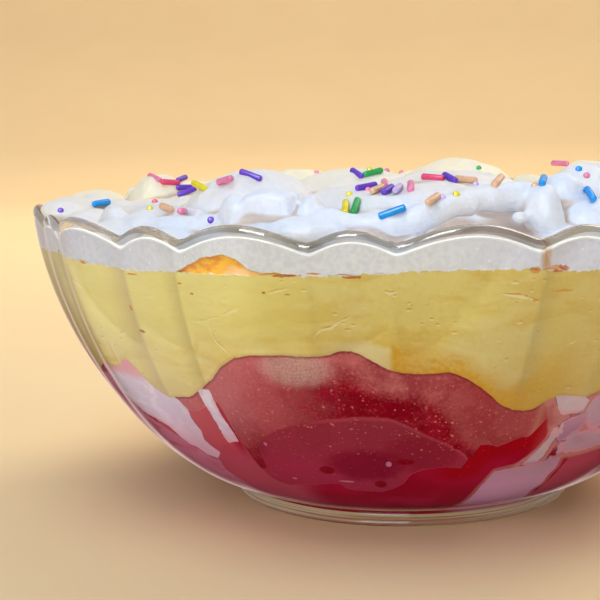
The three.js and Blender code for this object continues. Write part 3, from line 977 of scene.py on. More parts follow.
all_cells = [turned_by(turn, outline) for turn in POCKET_TURNS for _, outline in CELLS]
clusters = [turned_by(turn, CLUSTER) for turn in POCKET_TURNS]
POCKETS = {"pocket": LEFT_POCKETS, "veil": [VEIL], "cell": all_cells, "cluster": clusters}
for piece, angle, height in ((sponge, sponge_angle, sponge_height), (jelly, jelly_angle, jelly_height)):
    for name, outlines in POCKETS.items():
        note(piece, name, pocket_depth(angle, height, outlines))
    note(piece, "pale", paleness(angle, height))
print(len(all_cells) + len(LEFT_POCKETS), "air pockets")


# %% Measure the cracks in the custard
CRACKS = [
    [(-31.8, 65.7), (-30.1, 66.3), (-27.3, 67), (-26.2, 68), (-24.8, 68.2)],
    [(-24.2, 68.9), (-23.2, 69.7), (-21.6, 70.9)],
    [(-27.3, 66.7), (-27, 64.1), (-26.4, 61.6), (-24.8, 59.1)],
    [(-11.8, 64.1), (-10.8, 65.7), (-9.3, 66.3), (-8.2, 67.9), (-6.8, 69)],
    [(-1.9, 75.6), (-1.25, 75), (-0.4, 75.5)],
    [(12.9, 74.6), (15.4, 73.8), (17, 73), (18.4, 71.9)],
    [(23.6, 60.5), (24.8, 61.1)],
    [(-38.3, 71.9), (-35.8, 72.3)],
    [(-17.2, 75), (-16, 75.6), (-14.8, 76.1)],
]
CRACK_TURNS = (0, 75, 150, 222, 290)
CRACK_RADIUS = 105
CRACK_WINDOW_TURN, CRACK_WINDOW_HEIGHT = 8, 10
FAR = 9.0


def along_crack(across, up, corners):
    """Signed distance from a crack, and how far along it: 0 at one end and 1 at the other."""
    nearest, shares = np.full(across.shape, np.inf), np.zeros(across.shape)
    spots = np.stack([across, up], axis=1)
    lengths = np.hypot(*np.diff(corners, axis=0).T)
    done = 0.0
    for start, end, length in zip(corners, corners[1:], lengths):
        way = (end - start) / length
        off = spots - start
        along = np.clip(off @ way, 0, length)
        distance = np.hypot(*(off - along[:, None] * way).T)
        side = np.where(off @ np.array([-way[1], way[0]]) > 0, 1, -1)
        nearer = distance < np.abs(nearest)
        nearest[nearer] = (side * distance)[nearer]
        shares[nearer] = ((done + along) / lengths.sum())[nearer]
        done += length
    return nearest, shares


def beside_cracks(angle, height):
    """Signed distance across the nearest crack, and its openness: 1 in the middle, 0 at the ends."""
    across, opened = np.full(angle.shape, FAR), np.zeros(angle.shape)
    for turn in CRACK_TURNS:
        for crack in CRACKS:
            angles, heights = np.array(crack).T
            turned = half_turn(angle - angles.mean() - turn)
            near_height = np.abs(height - heights.mean()) < CRACK_WINDOW_HEIGHT
            here = np.flatnonzero((np.abs(turned) < CRACK_WINDOW_TURN) & near_height)
            corners = np.stack([np.radians(angles - angles.mean()) * CRACK_RADIUS, heights], axis=1)
            signed, share = along_crack(np.radians(turned[here]) * CRACK_RADIUS, height[here], corners)
            nearer = np.abs(signed) < np.abs(across[here])
            across[here[nearer]] = signed[nearer]
            opened[here[nearer]] = (1 - (2 * share - 1) ** 2)[nearer]
    return across, opened


crack_across, crack_open = beside_cracks(custard_angle, custard_height)
note(custard, "crack_across", crack_across)
note(custard, "crack_open", crack_open)
print(len(CRACKS) * len(CRACK_TURNS), "cracks")


# %% [markdown]
# Along the valleys between two flutes the glass is creased, and whatever lies behind looks milky
# there. That milkiness is painted reflection: the strips are noted too, and each food is painted a
# little paler in them.

# %% Measure the strips behind the creases of the glass
STRIPS = [
    (-41.9, -5, 0.7, 0), (-31.7, -3.2, 1.0, 0), (-11.3, -2, 0.25, 0), (-1.1, 3, 0.15, 0),
    (17.9, 3.6, 1.0, 0.062), (30, 3, 0.5, 0.06),
]
LEAN_HEIGHT = 60
UNSEEN_PAIRS = range(2, 10)
strip_draw = np.random.default_rng(12)
for turn in UNSEEN_PAIRS:
    for beyond, width in ((0, 3), (NARROW_FLUTE, -2.5)):
        edge = FIRST_VALLEY + turn * FLUTE_PAIR + beyond
        STRIPS.append((edge, width, strip_draw.uniform(0.1, 0.9), 0))


def crease_glare_at(angle, height):
    """How much painted reflection a place gets: most at the sharp edge of a strip, fading away to one side.
    """
    crease_glare_tone = np.zeros_like(angle)
    for edge, width, strength, lean in STRIPS:
        away = half_turn(angle - edge - (height - LEAN_HEIGHT) * lean) / width
        fading = smooth_step(away, -0.12, 0.08) * (1 - np.clip(away, 0, 1)) ** 1.4
        crease_glare_tone = np.maximum(crease_glare_tone, strength * fading)
    return crease_glare_tone


SEAM_ANGLES, SEAM_HALF_WIDTH = (18.9, 78.9, 138.9, 229.6, 289.6), 0.8

pale_layers = [(custard, custard_angle, custard_height), (cream_side, side_angle, side_height)]
for piece, angle, height in pale_layers:
    note(piece, "rib", crease_glare_at(angle, height))
    note(piece, "turn", half_turn(angle))
note(custard, "below_top", custard_top(custard_angle) - custard_height)
note(cream_side, "above_low", side_height - cream_low(side_angle))
note(cream_side, "arched", smooth_step(opening(side_angle), 0.4, 0.9))
# Near the band's top edge, where it gets a painted highlight line.
note(cream_side, "top", smooth_step(side_height - cream_edge(side_angle), -1.2, 0.2))
# Thin lines at the valleys of the flutes, where the cream gets painted shade in the gap.
seam_away = np.min([np.abs(half_turn(side_angle - seam)) for seam in SEAM_ANGLES], axis=0)
note(cream_side, "seam", 1 - smooth_step(seam_away, 0.4 * SEAM_HALF_WIDTH, SEAM_HALF_WIDTH))
arch_shade_turned = half_turn(arch_shade_angle)
right_of_pool = smooth_step(arch_shade_turned, -24.5, -20.5) * (1 - smooth_step(arch_shade_turned, 20, 40))
note(arch_shade, "right", right_of_pool)
note(arch_shade, "above", arch_shade_height - custard_top(arch_shade_angle))
print("strips:", len(STRIPS))


# %% [markdown]
# ## Writing materials
# A material is a small calculation done for every place on a surface. Wiring its nodes by hand
# hides the sum, so one class wraps a socket and lets Python's own operators add the maths nodes.

# %% A wrapper for shader maths
class Amount:
    """A number, colour or vector that a material works out for each place."""

    def __init__(self, finish, socket):
        self.finish = finish
        self.socket = socket

    def maths(self, operation, *inlets):
        return self.finish.add("Math", {"operation": operation}, dict(enumerate(inlets)))

    def __add__(self, other):
        return self.maths("ADD", self, other)

    def __sub__(self, other):
        return self.maths("SUBTRACT", self, other)

    def __rsub__(self, other):
        return self.maths("SUBTRACT", other, self)

    def __mul__(self, other):
        return self.maths("MULTIPLY", self, other)

    def __truediv__(self, other):
        return self.maths("DIVIDE", self, other)

    def __abs__(self):
        return self.maths("ABSOLUTE", self)

    __radd__ = __add__
    __rmul__ = __mul__

    def at_most(self, other):
        return self.maths("MINIMUM", self, other)

    def at_least(self, other):
        return self.maths("MAXIMUM", self, other)

    def between(self, low, high):
        """0 below low, 1 above high, and a smooth rise from one to the other."""
        settings = {"interpolation_type": "SMOOTHSTEP"}
        return self.finish.add("MapRange", settings, {0: self, 1: low, 2: high})

    def until(self, low, high):
        """1 below low, 0 above high, and a smooth fall from one to the other."""
        return 1 - self.between(low, high)


def tone(red, green, blue):
    """A colour as a screen shows it, 0 to 255, turned into the linear light that a shader takes."""
    shares = [part / 255 for part in (red, green, blue)]
    return (*[part / 12.92 if part < 0.04045 else ((part + 0.055) / 1.055) ** 2.4 for part in shares], 1)


print("mid grey is", [round(part, 3) for part in tone(128, 128, 128)])


# %% Trees of nodes, and materials
class Sum:
    """A tree of nodes, written as sums."""

    def __init__(self, tree, outlet):
        self.tree = tree
        self.place = self.add("TexCoord", {}, {}, outlet)

    def feed(self, socket, given):
        if isinstance(given, Amount):
            self.tree.links.new(given.socket, socket)
        else:
            socket.default_value = given

    def add(self, kind, settings, inlets, outlet=0):
        """Any node: its settings first, the points of a curve among them, then its inlets."""
        node = self.tree.nodes.new("ShaderNode" + kind)
        for setting, value in settings.items():
            if setting == "line":
                curve = node.mapping.curves[0].points
                curve[0].location, curve[-1].location = value[0], value[-1]
                for spot in value[1:-1]:
                    curve.new(*spot)
                node.mapping.update()
            else:
                setattr(node, setting, value)
        for inlet, given in inlets.items():
            self.feed(node.inputs[inlet], given)
        return Amount(self, node.outputs[outlet])

    def axis(self, name):
        """How far along X, Y or Z each place lies."""
        return self.add("SeparateXYZ", {}, {0: self.place}, name)

    def mix(self, under, over, share):
        return self.add("Mix", {"data_type": "RGBA"}, {0: share, 6: under, 7: over}, 2)

    def coats(self, colour, *layers):
        """Colours laid one over another, each with the share of what is below that it covers."""
        for layer, share in layers:
            colour = self.mix(colour, layer, share)
        return colour


class Finish(Sum):
    """One material, with its constant numbers set straight on the shader."""

    def __init__(self, name, **constants):
        self.material = bpy.data.materials.new(name)
        self.material.use_nodes = True
        self.shader = self.material.node_tree.nodes["Principled BSDF"]
        super().__init__(self.material.node_tree, "Object")
        for socket, value in constants.items():
            self.shader.inputs[socket.replace("_", " ")].default_value = value

    def kept(self, name):
        """A number that was kept on the vertices."""
        return self.add("Attribute", {"attribute_name": name}, {}, "Fac")

    def stretched(self, x=1, y=1, z=1):
        return self.add("Mapping", {}, {"Vector": self.place, "Scale": (x, y, z)})

    def cloud(self, size, detail=2.0, place=None, distortion=0.0):
        """Soft noise from 0 to 1 whose patches are size millimetres across."""
        inlets = {"Vector": place or self.place, "Scale": 1 / (size * MM)}
        return self.add("TexNoise", {}, {**inlets, "Detail": detail, "Distortion": distortion})

    def cells(self, size, place=None, outlet="Distance"):
        """A crowd of cells, size millimetres across: how far each place is from its cell's middle."""
        inlets = {"Vector": place or self.place, "Scale": 1 / (size * MM)}
        return self.add("TexVoronoi", {}, inlets, outlet)

    def dress(self, pieces, colour, bump=None, depth=0.0, **others):
        """Wires the varying inputs, and puts the material on its pieces."""
        self.feed(self.shader.inputs["Base Color"], colour)
        if bump is not None:
            inlets = {"Height": bump, "Distance": depth * MM}
            self.feed(self.shader.inputs["Normal"], self.add("Bump", {}, inlets, "Normal"))
        for socket, given in others.items():
            self.feed(self.shader.inputs[socket.replace("_", " ")], given)
        for piece in pieces:
            piece.data.materials.clear()
            piece.data.materials.append(self.material)


# %% [markdown]
# ## Glass
# Clear glass has no colour of its own to speak of. What makes it read as glass is how it bends
# and mirrors light, and a faint unevenness from the press. Light reaches the food through it, so
# the bowl throws no shadow of its own on what it holds. Three bands of it have colour painted in
# for what they show: the rim is tinted tan as a painted reflection of warm surroundings, the foot
# ring is a pale, partly diffuse glass with light lines as painted light from the floor seen
# through it, and the thick glass just over the foot pipes the red of the jelly downwards, so it is
# painted red there, with a lilac stretch to the right of the front.

# %% Clear pressed glass
RIM_BAND = 2.3
FOOT_BAND, LOW_BAND = 3.9, 9.2
GLASS_BEND = 1.5

glass = Finish("clear_glass", Transmission_Weight=1.0, IOR=GLASS_BEND, Specular_Tint=(0.55, 0.55, 0.55, 1))
ripple = glass.cloud(16, 1) + glass.cloud(5, 1) * 0.15
smear = glass.cloud(9, 3).between(0.55, 0.8)
clear = glass.mix(tone(253, 254, 252), tone(246, 250, 246), smear)
glass.dress([bowl], colour=clear, bump=ripple, depth=0.25, Roughness=smear * 0.03)

# Painted reflection: the rim glass is tinted tan for the warm surroundings its rounded top bends into view.
rim_glass = Finish("rim_glass", Transmission_Weight=1.0, IOR=GLASS_BEND)
rim_reflection_tinge = rim_glass.cloud(26, 1).between(0.4, 0.6)
rim_glass.dress([], colour=rim_glass.mix(tone(206, 200, 194), tone(180, 168, 150), rim_reflection_tinge), Roughness=0.02)

# Painted light: the foot ring is partly diffuse, pale with light lines, for the lit floor seen through it.
foot_glass = Finish("foot_glass", Transmission_Weight=0.55, IOR=GLASS_BEND)
foot_light_lines = foot_glass.cloud(9, 3, foot_glass.stretched(0.12, 0.12, 13))
painted_foot_colour = foot_glass.mix(tone(200, 146, 120), tone(252, 234, 176), foot_light_lines.between(0.4, 0.58))
foot_glass.dress([], colour=painted_foot_colour, Roughness=0.1)

# Painted colour of what shows through: this band is red for the jelly above it, and lilac to the right of
# the front.
low_glass = Finish("low_glass", Transmission_Weight=0.5, IOR=GLASS_BEND, Specular_Tint=(0.4, 0.4, 0.4, 1))
rightward, forward = low_glass.axis("X"), 0 - low_glass.axis("Y")
low_turn = low_glass.add("Math", {"operation": "ARCTAN2"}, {0: rightward, 1: forward}) * (180 / math.pi)
painted_piped_red = low_glass.mix(tone(190, 30, 66), tone(170, 30, 44), low_glass.cloud(20, 1))
painted_piped_red = low_glass.mix(painted_piped_red, tone(222, 160, 198), low_turn.between(10, 22) * low_turn.until(40, 50) * 0.7)
low_glass.dress([], colour=painted_piped_red, Roughness=0.1)
for layer in (rim_glass, foot_glass, low_glass):
    bowl.data.materials.append(layer.material)
for face in bowl.data.polygons:
    corner = face.vertices[0]
    if below_rim[corner] < RIM_BAND:
        face.material_index = 1
    elif bowl_height[corner] < FOOT_BAND and bowl_radius[corner] > FOOT_MIDDLE:
        face.material_index = 2
    elif bowl_height[corner] < LOW_BAND and bowl_radius[corner] > FOOT_MIDDLE:
        face.material_index = 3
bowl.visible_shadow = False
print("the bowl has", len(bowl.data.materials), "kinds of glass")


# %% [markdown]
# ## Jelly
# Deep red jelly is almost black where it is thick and glows where light comes through near the
# surface; that glow and its light specks are painted in. Air pockets are pale lilac with pink
# edges, the pale being a painted reflection. Each colour is laid over the ones before it like a
# coat of paint, as far as its share allows.

# %% Deep red jelly
LILAC, LOW_LILAC, PALE_LILAC = tone(236, 220, 244), tone(248, 202, 226), tone(248, 238, 254)
POCKET_PINK, MEMBRANE, VEIN = tone(246, 160, 176), tone(214, 142, 138), tone(120, 40, 60)
CELL_MAUVE, CELL_GREY, VEIL_MAUVE = tone(196, 138, 168), tone(226, 202, 212), tone(218, 136, 164)


def with_pockets(finish, colour):
    """Lays the air films over a colour, their pale a painted reflection: veil and cluster first, then the
    cells and the pocket.
    """
    stray = (finish.cloud(4.5, 2) - 0.5) * 0.9 + (finish.cloud(1.3, 2) - 0.5) * 0.5
    level = finish.axis("Z") / MM
    smoky = finish.cloud(9, 3, finish.stretched(1, 1, 2.2), 1.0)
    veil = (finish.kept("veil") + stray).between(-0.3, 0.6) * (smoky.between(0.3, 0.6) * 0.45 + 0.5)
    skin = finish.mix(MEMBRANE, tone(186, 92, 92), finish.cloud(5, 3).between(0.45, 0.7) * 0.6)
    pale = finish.kept("pale")
    in_cell = finish.kept("cell") + stray * 0.7 + 0.1
    cell_edge = in_cell.until(0.2, 1.6) * finish.cloud(7, 1).between(0.4, 0.62) * 0.6
    # Painted reflection: each cell's film, paler where the film is thicker.
    cell_film_reflection = finish.mix(CELL_MAUVE, CELL_GREY, pale + (smoky - 0.5) * 0.8)
    cell_film_reflection = finish.mix(tone(248, 190, 230), cell_film_reflection, (level + (smoky - 0.5) * 8).between(18, 27) * 0.7 + 0.3)
    cell_film_reflection = finish.mix(tone(158, 26, 44), cell_film_reflection, pale.between(-0.7, -0.1))
    cell_film_reflection = finish.mix(cell_film_reflection, POCKET_PINK, cell_edge)
    in_pocket = finish.kept("pocket") + stray + 0.25
    pocket_edge = in_pocket.until(0.2, 1.8) * finish.cloud(7, 1).between(0.4, 0.6) * 0.5
    # Painted reflection: the long pocket's silvery lilac.
    upper = finish.mix(LILAC, PALE_LILAC, smoky.between(0.42, 0.62))
    silver_reflection = finish.coats(
        finish.mix(LOW_LILAC, upper, level.between(26, 41)),
        (POCKET_PINK, level.between(46.5, 50) * 0.8),
        (POCKET_PINK, pocket_edge),
    )
    veins = abs(in_pocket).at_most(abs(in_cell)).until(0.05, 0.22) * finish.cloud(5, 2).between(0.44, 0.54)
    return finish.coats(
        colour,
        (VEIL_MAUVE, veil),
        (skin, (finish.kept("cluster") + stray).between(-0.4, 0.7) * 0.92),
        (MEMBRANE, (in_cell + 1.3).between(0, 0.7) * 0.55),
        (cell_film_reflection, in_cell.between(-0.12, 0.12)),
        (silver_reflection, in_pocket.between(-0.12, 0.12)),
        (VEIN, veins * 0.6),
    )


red_jelly = Finish("red_jelly", Roughness=0.3, Specular_IOR_Level=0.02)
depths = red_jelly.cloud(14, 2)
across = red_jelly.kept("across")
jelly_level = red_jelly.axis("Z") / MM


def above_level(stray, low, high):
    """0 below one height and 1 above another, with an edge that strays up and down."""
    return (jelly_level + (depths - 0.5) * stray).between(low, high)


# Painted light: brighter red where light comes through near the sponge's lower edge, with light specks in
# it.
bright = red_jelly.kept("from_low").until(3, 9) * across.between(0.3, 0.55)
specks = red_jelly.cells(1.5).until(0.12, 0.2)
jelly_colour = red_jelly.coats(
    red_jelly.mix(tone(172, 2, 42), tone(190, 16, 62), depths.between(0.4, 0.66)),
    (tone(184, 0, 24), bright),
    (tone(214, 96, 106), across.until(-1.08, -0.98) * above_level(20, 22, 36) * 0.85),
    (tone(204, 62, 108), (1 - above_level(5, 9, 15)) * across.until(-0.9, 0.2) * 0.5),
    (tone(226, 70, 70), specks * bright * red_jelly.cloud(5).between(0.4, 0.6) * 0.7),
    (tone(212, 96, 120), across.until(-0.8, -0.45) * (1 - above_level(8, 24, 34)) * 0.75),
    (tone(206, 84, 88), across.between(1.02, 1.12) * above_level(16, 20, 30) * 0.4),
)
red_jelly.dress([jelly], colour=with_pockets(red_jelly, jelly_colour), bump=depths, depth=0.2)
print("red jelly has", len(red_jelly.tree.nodes), "nodes")


# %% [markdown]
# ## Soaked sponge
# The cut side of the sponge is pressed against the glass. It is dusty pink-red where it stands
# above the jelly, deepest red in a band across the middle, with a paler rounded patch below, and
# its crumb is full of tiny light specks. A bright line of painted sheen runs round its wet lower
# edge, and a dark line of painted shade lies just under the custard.

# %% Marks on the sponge
PATCH_TOP = [
    (-0.86, 24), (-0.82, 30.2), (-0.75, 33.5), (-0.65, 36.6), (-0.54, 38.5), (-0.44, 39.8),
    (-0.25, 41.3), (-0.07, 42.1), (0.08, 42), (0.16, 40.8), (0.28, 38.3), (0.4, 35.6),
    (0.51, 33.2), (0.59, 30.4), (0.64, 28),
]
PATCH_SCALE = 60.0
DARK_SPOTS = [
    (-0.37, 25, 0.055, 1.3), (0.01, 20.7, 0.045, 1.3), (0.2, 28.4, 0.06, 0.9),
    (0.52, 33.4, 0.025, 0.8),
]
GLINTS = [
    (-0.74, 32.6, 0.012, 0.5), (-0.25, 21.2, 0.06, 0.3), (0.08, 27.6, 0.02, 0.9),
    (-0.66, 21.3, 0.02, 0.25),
]
SPECKS = [(0.95, 0.27, 0.55), (1.5, 0.24, 0.8), (2.6, 0.17, 0.9)]

crumb = Finish("red_sponge", Roughness=0.6, Specular_IOR_Level=0.02)
height = crumb.axis("Z") / MM
across = crumb.kept("across")
grain = crumb.cloud(0.8, 3)
mottle = crumb.cloud(6, 3)


def across_to_curve(points):
    """Points of a curve node, which runs from 0 to 1 both ways."""
    spots = [((x + 1) / 2, z / PATCH_SCALE) for x, z in points]
    return [(0, spots[0][1]), *spots, (1, spots[-1][1])]


def blot(middle_across, middle_height, half_across, half_height, softness=0.25):
    """A soft oval mark on the slices: 1 inside it and 0 outside."""
    sideways = (across - middle_across) / half_across
    upright = (height - middle_height) / half_height
    spread = sideways * sideways + upright * upright + (crumb.cloud(2.5, 2) - 0.5) * 0.8
    return spread.until(1 - softness, 1 + softness)


patch_line = crumb.add("FloatCurve", {"line": across_to_curve(PATCH_TOP)}, {"Value": (across + 1) * 0.5})
above_patch = height - patch_line * PATCH_SCALE + (crumb.cloud(3, 2) - 0.5) * 0.9
print(len(DARK_SPOTS), "dark spots and", len(GLINTS), "glints")


# %% Red sponge crumb
dusty = crumb.coats(
    crumb.mix(tone(184, 82, 88), tone(214, 120, 120), mottle.between(0.36, 0.66)),
    (tone(226, 140, 140), crumb.cloud(1.0, 3).between(0.5, 0.7) * 0.45),
    (tone(176, 62, 68), across.between(0.2, 0.6) * 0.6),
)
deep = crumb.mix(tone(154, 2, 30), tone(176, 18, 46), mottle.between(0.4, 0.7))
deep = crumb.mix(deep, tone(120, 0, 26), crumb.cloud(1.4, 3).between(0.5, 0.7) * 0.5)
fade = crumb.kept("from_top") - across.between(0.25, 0.6) * 7
band = fade.until(4, 11) + (crumb.cloud(7, 2) - 0.5) * 0.5 + (grain - 0.5) * 1.2
left_dust = (across + (mottle - 0.5) * 0.4).until(-0.75, -0.1)
left_dust = left_dust * (height + (mottle - 0.5) * 12).between(24, 44)
patch_tone = crumb.coats(
    crumb.mix(tone(188, 54, 86), tone(170, 56, 74), (height + (mottle - 0.5) * 8).between(22, 38)),
    (tone(146, 6, 46), blot(-0.08, 27, 0.26, 5, 0.6) * 0.8),
    (tone(156, 20, 48), blot(0.3, 31, 0.24, 6, 0.6) * 0.6),
)
rim_light = abs(above_patch + 0.5).until(0.1, 0.8)
grey = crumb.mix(tone(206, 156, 148), tone(228, 188, 180), crumb.cloud(0.45, 2).between(0.35, 0.65))
specky = crumb.cloud(5, 2).between(0.36, 0.62) * abs(height - 44).until(7, 18)
# Painted sheen: a bright line along the wet lower edge.
wet_sheen_line = crumb.kept("from_low").until(0.12, 0.4)
crumb_colour = crumb.coats(
    crumb.mix(deep, dusty, band.at_least(0).at_most(1)),
    (crumb.mix(tone(196, 90, 98), tone(218, 122, 126), grain), left_dust * 0.85),
    (patch_tone, above_patch.until(-0.4, 0.4)),
    (tone(220, 96, 104), rim_light * across.between(-0.5, -0.3) * 0.35),
    (tone(120, 4, 34), blot(-0.8, 32, 0.05, 4, 0.7) * 0.25),
    *[(tone(150, 0, 24), blot(*spot) * 0.9) for spot in DARK_SPOTS],
    *[(tone(226, 150, 190), blot(*spot) * 0.8) for spot in GLINTS],
    (grey, blot(-0.4, 55.4, 0.18, 4.6, 0.9) * 0.85),
)
for size, most, strength in SPECKS:
    speck = crumb.cells(size).until(most * 0.6, most)
    some = crumb.cells(size, outlet="Color").between(0.55, 0.6)
    crumb_colour = crumb.mix(crumb_colour, tone(240, 138, 122), speck * some * (specky + 0.15) * strength)
crumb_colour = crumb.coats(
    crumb_colour,
    # Painted shade: a dark line just under the custard's edge.
    (tone(120, 44, 44), crumb.kept("from_top").until(0.2, 0.9) * 0.5),
    (tone(240, 124, 140), wet_sheen_line * crumb.cloud(8, 1).between(0.3, 0.55) * 0.85),
    (tone(214, 150, 130), abs(across - 1.02).between(0.0, 0.05) * -0.5 + 0.5),
)
crumb.dress([sponge], colour=with_pockets(crumb, crumb_colour), bump=grain, depth=0.25)
print("red sponge has", len(crumb.tree.nodes), "nodes")


# %% [markdown]
# ## Custard
# Thick custard is pale yellow in the middle, deeper yellow near the sponge, and greyer at the
# top. It was spooned in, so it has level streaks, small pits and a few pale cracks. The pits are
# pale ticks, each a painted highlight with a painted orange shade beside it, and each crack has
# painted shade along one side.

# %% Marks of syrup, and the edge of the cream
RUSTY, ORANGE, BROWNISH = tone(206, 104, 44), tone(226, 150, 50), tone(176, 100, 90)
MARKS = [
    (-6.3, 79.3, 1.3, 0.5, RUSTY), (-11, 80, 1, 0.3, ORANGE), (17.4, 80, 0.9, 0.9, ORANGE),
    (20.7, 80.1, 1.6, 0.9, RUSTY), (-42.4, 68.4, 0.3, 0.9, ORANGE), (-41.4, 62.2, 0.8, 0.5, BROWNISH),
    (-31.2, 76.3, 0.45, 0.3, ORANGE), (-29.1, 74, 0.4, 0.3, RUSTY), (-17.8, 75.3, 0.3, 0.35, RUSTY),
    (-14.9, 79.5, 1.9, 0.4, RUSTY), (-30.4, 79.5, 1.3, 0.3, RUSTY), (21.8, 74.6, 1.5, 0.25, ORANGE),
    (-40, 77.8, 1.3, 0.25, ORANGE), (-49.8, 79.8, 1.2, 0.35, RUSTY), (-14.8, 74.8, 0.5, 0.2, ORANGE),
    (17.8, 72.6, 0.5, 0.35, ORANGE),
]


def marked(finish, colour):
    """Lays small rusty flecks of syrup over a colour."""
    turn = finish.kept("turn")
    level = finish.axis("Z") / MM
    uneven = (finish.cloud(1, 2) - 0.5) * 2.2 + 1
    for middle, height, half_width, half_height, tint in MARKS:
        sideways = (turn - middle) / half_width
        upright = (level - height) / half_height
        spread = sideways * sideways + upright * upright
        colour = finish.mix(colour, tint, (spread * uneven).until(0.5, 1.1) * 0.85)
    return colour


def ragged_by(finish):
    """How far the line between custard and cream strays up and down, in millimetres."""
    return (finish.cloud(1.6, 3) - 0.5) * 2 + (finish.cloud(6, 2) - 0.5) * 2.4


print(len(MARKS), "marks of syrup")


# %% Thick custard
TICKS = [(4, 0.17), (6.5, 0.15)]
TICK_RISE = 1.1

yolk = Finish("thick_custard", Roughness=0.5, Specular_IOR_Level=0.06)
level = yolk.axis("Z") / MM
across = yolk.kept("across")
turn = yolk.kept("turn")
streaks = yolk.cloud(16, 3, yolk.stretched(1, 1, 3.2), 0.6)
drift = yolk.cloud(30, 2, yolk.stretched(1, 1, 1.6)) - 0.5
mealy = yolk.cloud(1.3, 4)
deeper = (level + drift * 26).until(50, 66) * (across + drift * 2).between(-0.3, 0.5)
deeper = deeper * across.until(1.0, 1.3)
custard_colour = yolk.coats(
    yolk.mix(tone(240, 222, 138), tone(234, 208, 112), streaks.between(0.4, 0.62)),
    (tone(228, 182, 72), deeper * 0.7),
    (tone(238, 226, 166), drift.between(0.02, 0.16) * 0.6),
    (tone(248, 234, 170), mealy.between(0.5, 0.7) * 0.2),
    (tone(214, 176, 84), mealy.until(0.32, 0.44) * 0.12),
)
flat_cells = yolk.stretched(1, 1, 2.6)
raised = yolk.add("VectorMath", {"operation": "ADD"}, {0: flat_cells, 1: (0, 0, -TICK_RISE * MM)})
some = yolk.cloud(8, 2).between(0.54, 0.6)
# Each tick is a painted highlight, and an orange copy a little way off is its painted shade.
for size, most in TICKS:
    tick_highlight = yolk.cells(size, place=flat_cells).until(most * 0.7, most)
    above = yolk.cells(size, place=raised).until(most * 0.6, most)
    custard_colour = yolk.mix(custard_colour, tone(220, 146, 50), above * some * 0.6)
    custard_colour = yolk.mix(custard_colour, tone(252, 238, 184), tick_highlight * some * 0.8)
dots = yolk.cells(8, place=yolk.stretched(1, 1, 1.4)).until(0.035, 0.05)
crack_width = yolk.kept("crack_open") * 0.45 * yolk.cloud(2.5).between(0.2, 0.7) + 0.06
crack_side = yolk.kept("crack_across")
shade = (abs(crack_side - 0.45) / crack_width).until(0.5, 1.2)
far_left = turn.until(-46, -34)
crease_glare_tone = yolk.mix(tone(190, 168, 112), tone(196, 164, 150), far_left)
near_sponge = yolk.kept("from_top") + drift * 22 + (streaks - 0.5) * 12
warm = near_sponge.until(4, 11) * across.between(0.1, 0.14) * across.until(0.75, 1.0)
pale_edge = near_sponge.until(2, 6) * across.between(-0.4, -0.05) * across.until(0.1, 0.14)
custard_colour = yolk.coats(
    custard_colour,
    (tone(206, 120, 46), dots * 0.6),
    (tone(216, 150, 50), shade * yolk.cloud(3, 2).between(0.4, 0.6) * 0.85),
    (tone(252, 240, 190), (abs(crack_side) / crack_width).until(0.6, 1.1)),
    (tone(206, 156, 70), yolk.kept("from_top").until(0.1, 1.3) * 0.5),
    (tone(242, 232, 184), (across + drift).until(-1.6, -0.5) * 0.4),
    (tone(255, 243, 156), (level + drift * 12).between(55, 68) * turn.until(-22, -4) * 0.6),
    # Painted shade: the right side of the custard is darker.
    (tone(196, 164, 84), turn.between(4, 24) * 0.4),
    # Painted reflection of the glass creases, greyer and mauve far to the left.
    (crease_glare_tone, yolk.kept("rib") * (far_left * 0.25 + 0.5)),
    (tone(226, 172, 40), warm * (mealy.between(0.4, 0.6) * 0.3 + 0.62)),
    (tone(240, 228, 182), pale_edge * 0.6),
    # Painted reflection: greyer far to the left, where the glass wall is seen edgewise.
    (tone(198, 178, 116), turn.until(-66, -54) * turn.between(-116, -92) * 0.6),
)
custard_colour = marked(yolk, custard_colour)
ragged = yolk.kept("below_top") + ragged_by(yolk)
custard_colour = yolk.mix(tone(240, 240, 244), custard_colour, ragged.between(-0.12, 0.12))
yolk.dress([custard], colour=custard_colour, bump=streaks + mealy * 0.15, depth=0.35)

# Painted shade: deep orange for the custard in the shade of the arch, with a painted shine and a peach tint
# to its right.
arch_paint = Finish("arch_shade_fill", Roughness=0.2, Specular_IOR_Level=0.5)
shine = arch_paint.cloud(3, 2, arch_paint.stretched(1, 1, 2)).between(0.4, 0.62)
peachy = arch_paint.kept("right") * (arch_paint.kept("above") + (shine - 0.5) * 1.4).until(1, 2.6)
arch_shade_tone = arch_paint.mix(tone(240, 152, 12), tone(254, 190, 40), shine)
arch_shade_tone = arch_paint.mix(arch_shade_tone, tone(255, 210, 150), peachy * 0.85)
arch_paint.dress([arch_shade], colour=arch_shade_tone, bump=arch_paint.cloud(2, 2), depth=0.3)
print("custard has", len(yolk.tree.nodes), "nodes and syrup has", len(arch_paint.tree.nodes))


# %% [markdown]
# ## Whipped cream
# Cream scatters light under its skin, so its shadows are soft. The tan in its creases and under the
# long fold is painted shade, and it is painted bluish at the front and warm at the back for the
# cool and warm light falling there. The surface has a fine matt unevenness. Pressed against the
# glass it is flat, with small bubbles and a frothy look at the front.

# %% Whipped cream
cream = Finish(
    "whipped_cream", Roughness=0.5, Specular_IOR_Level=0.3, Subsurface_Weight=0.2,
    Subsurface_Radius=(1.0, 0.8, 0.6), Subsurface_Scale=0.002,
)
flecks = cream.cloud(2.2, 3)
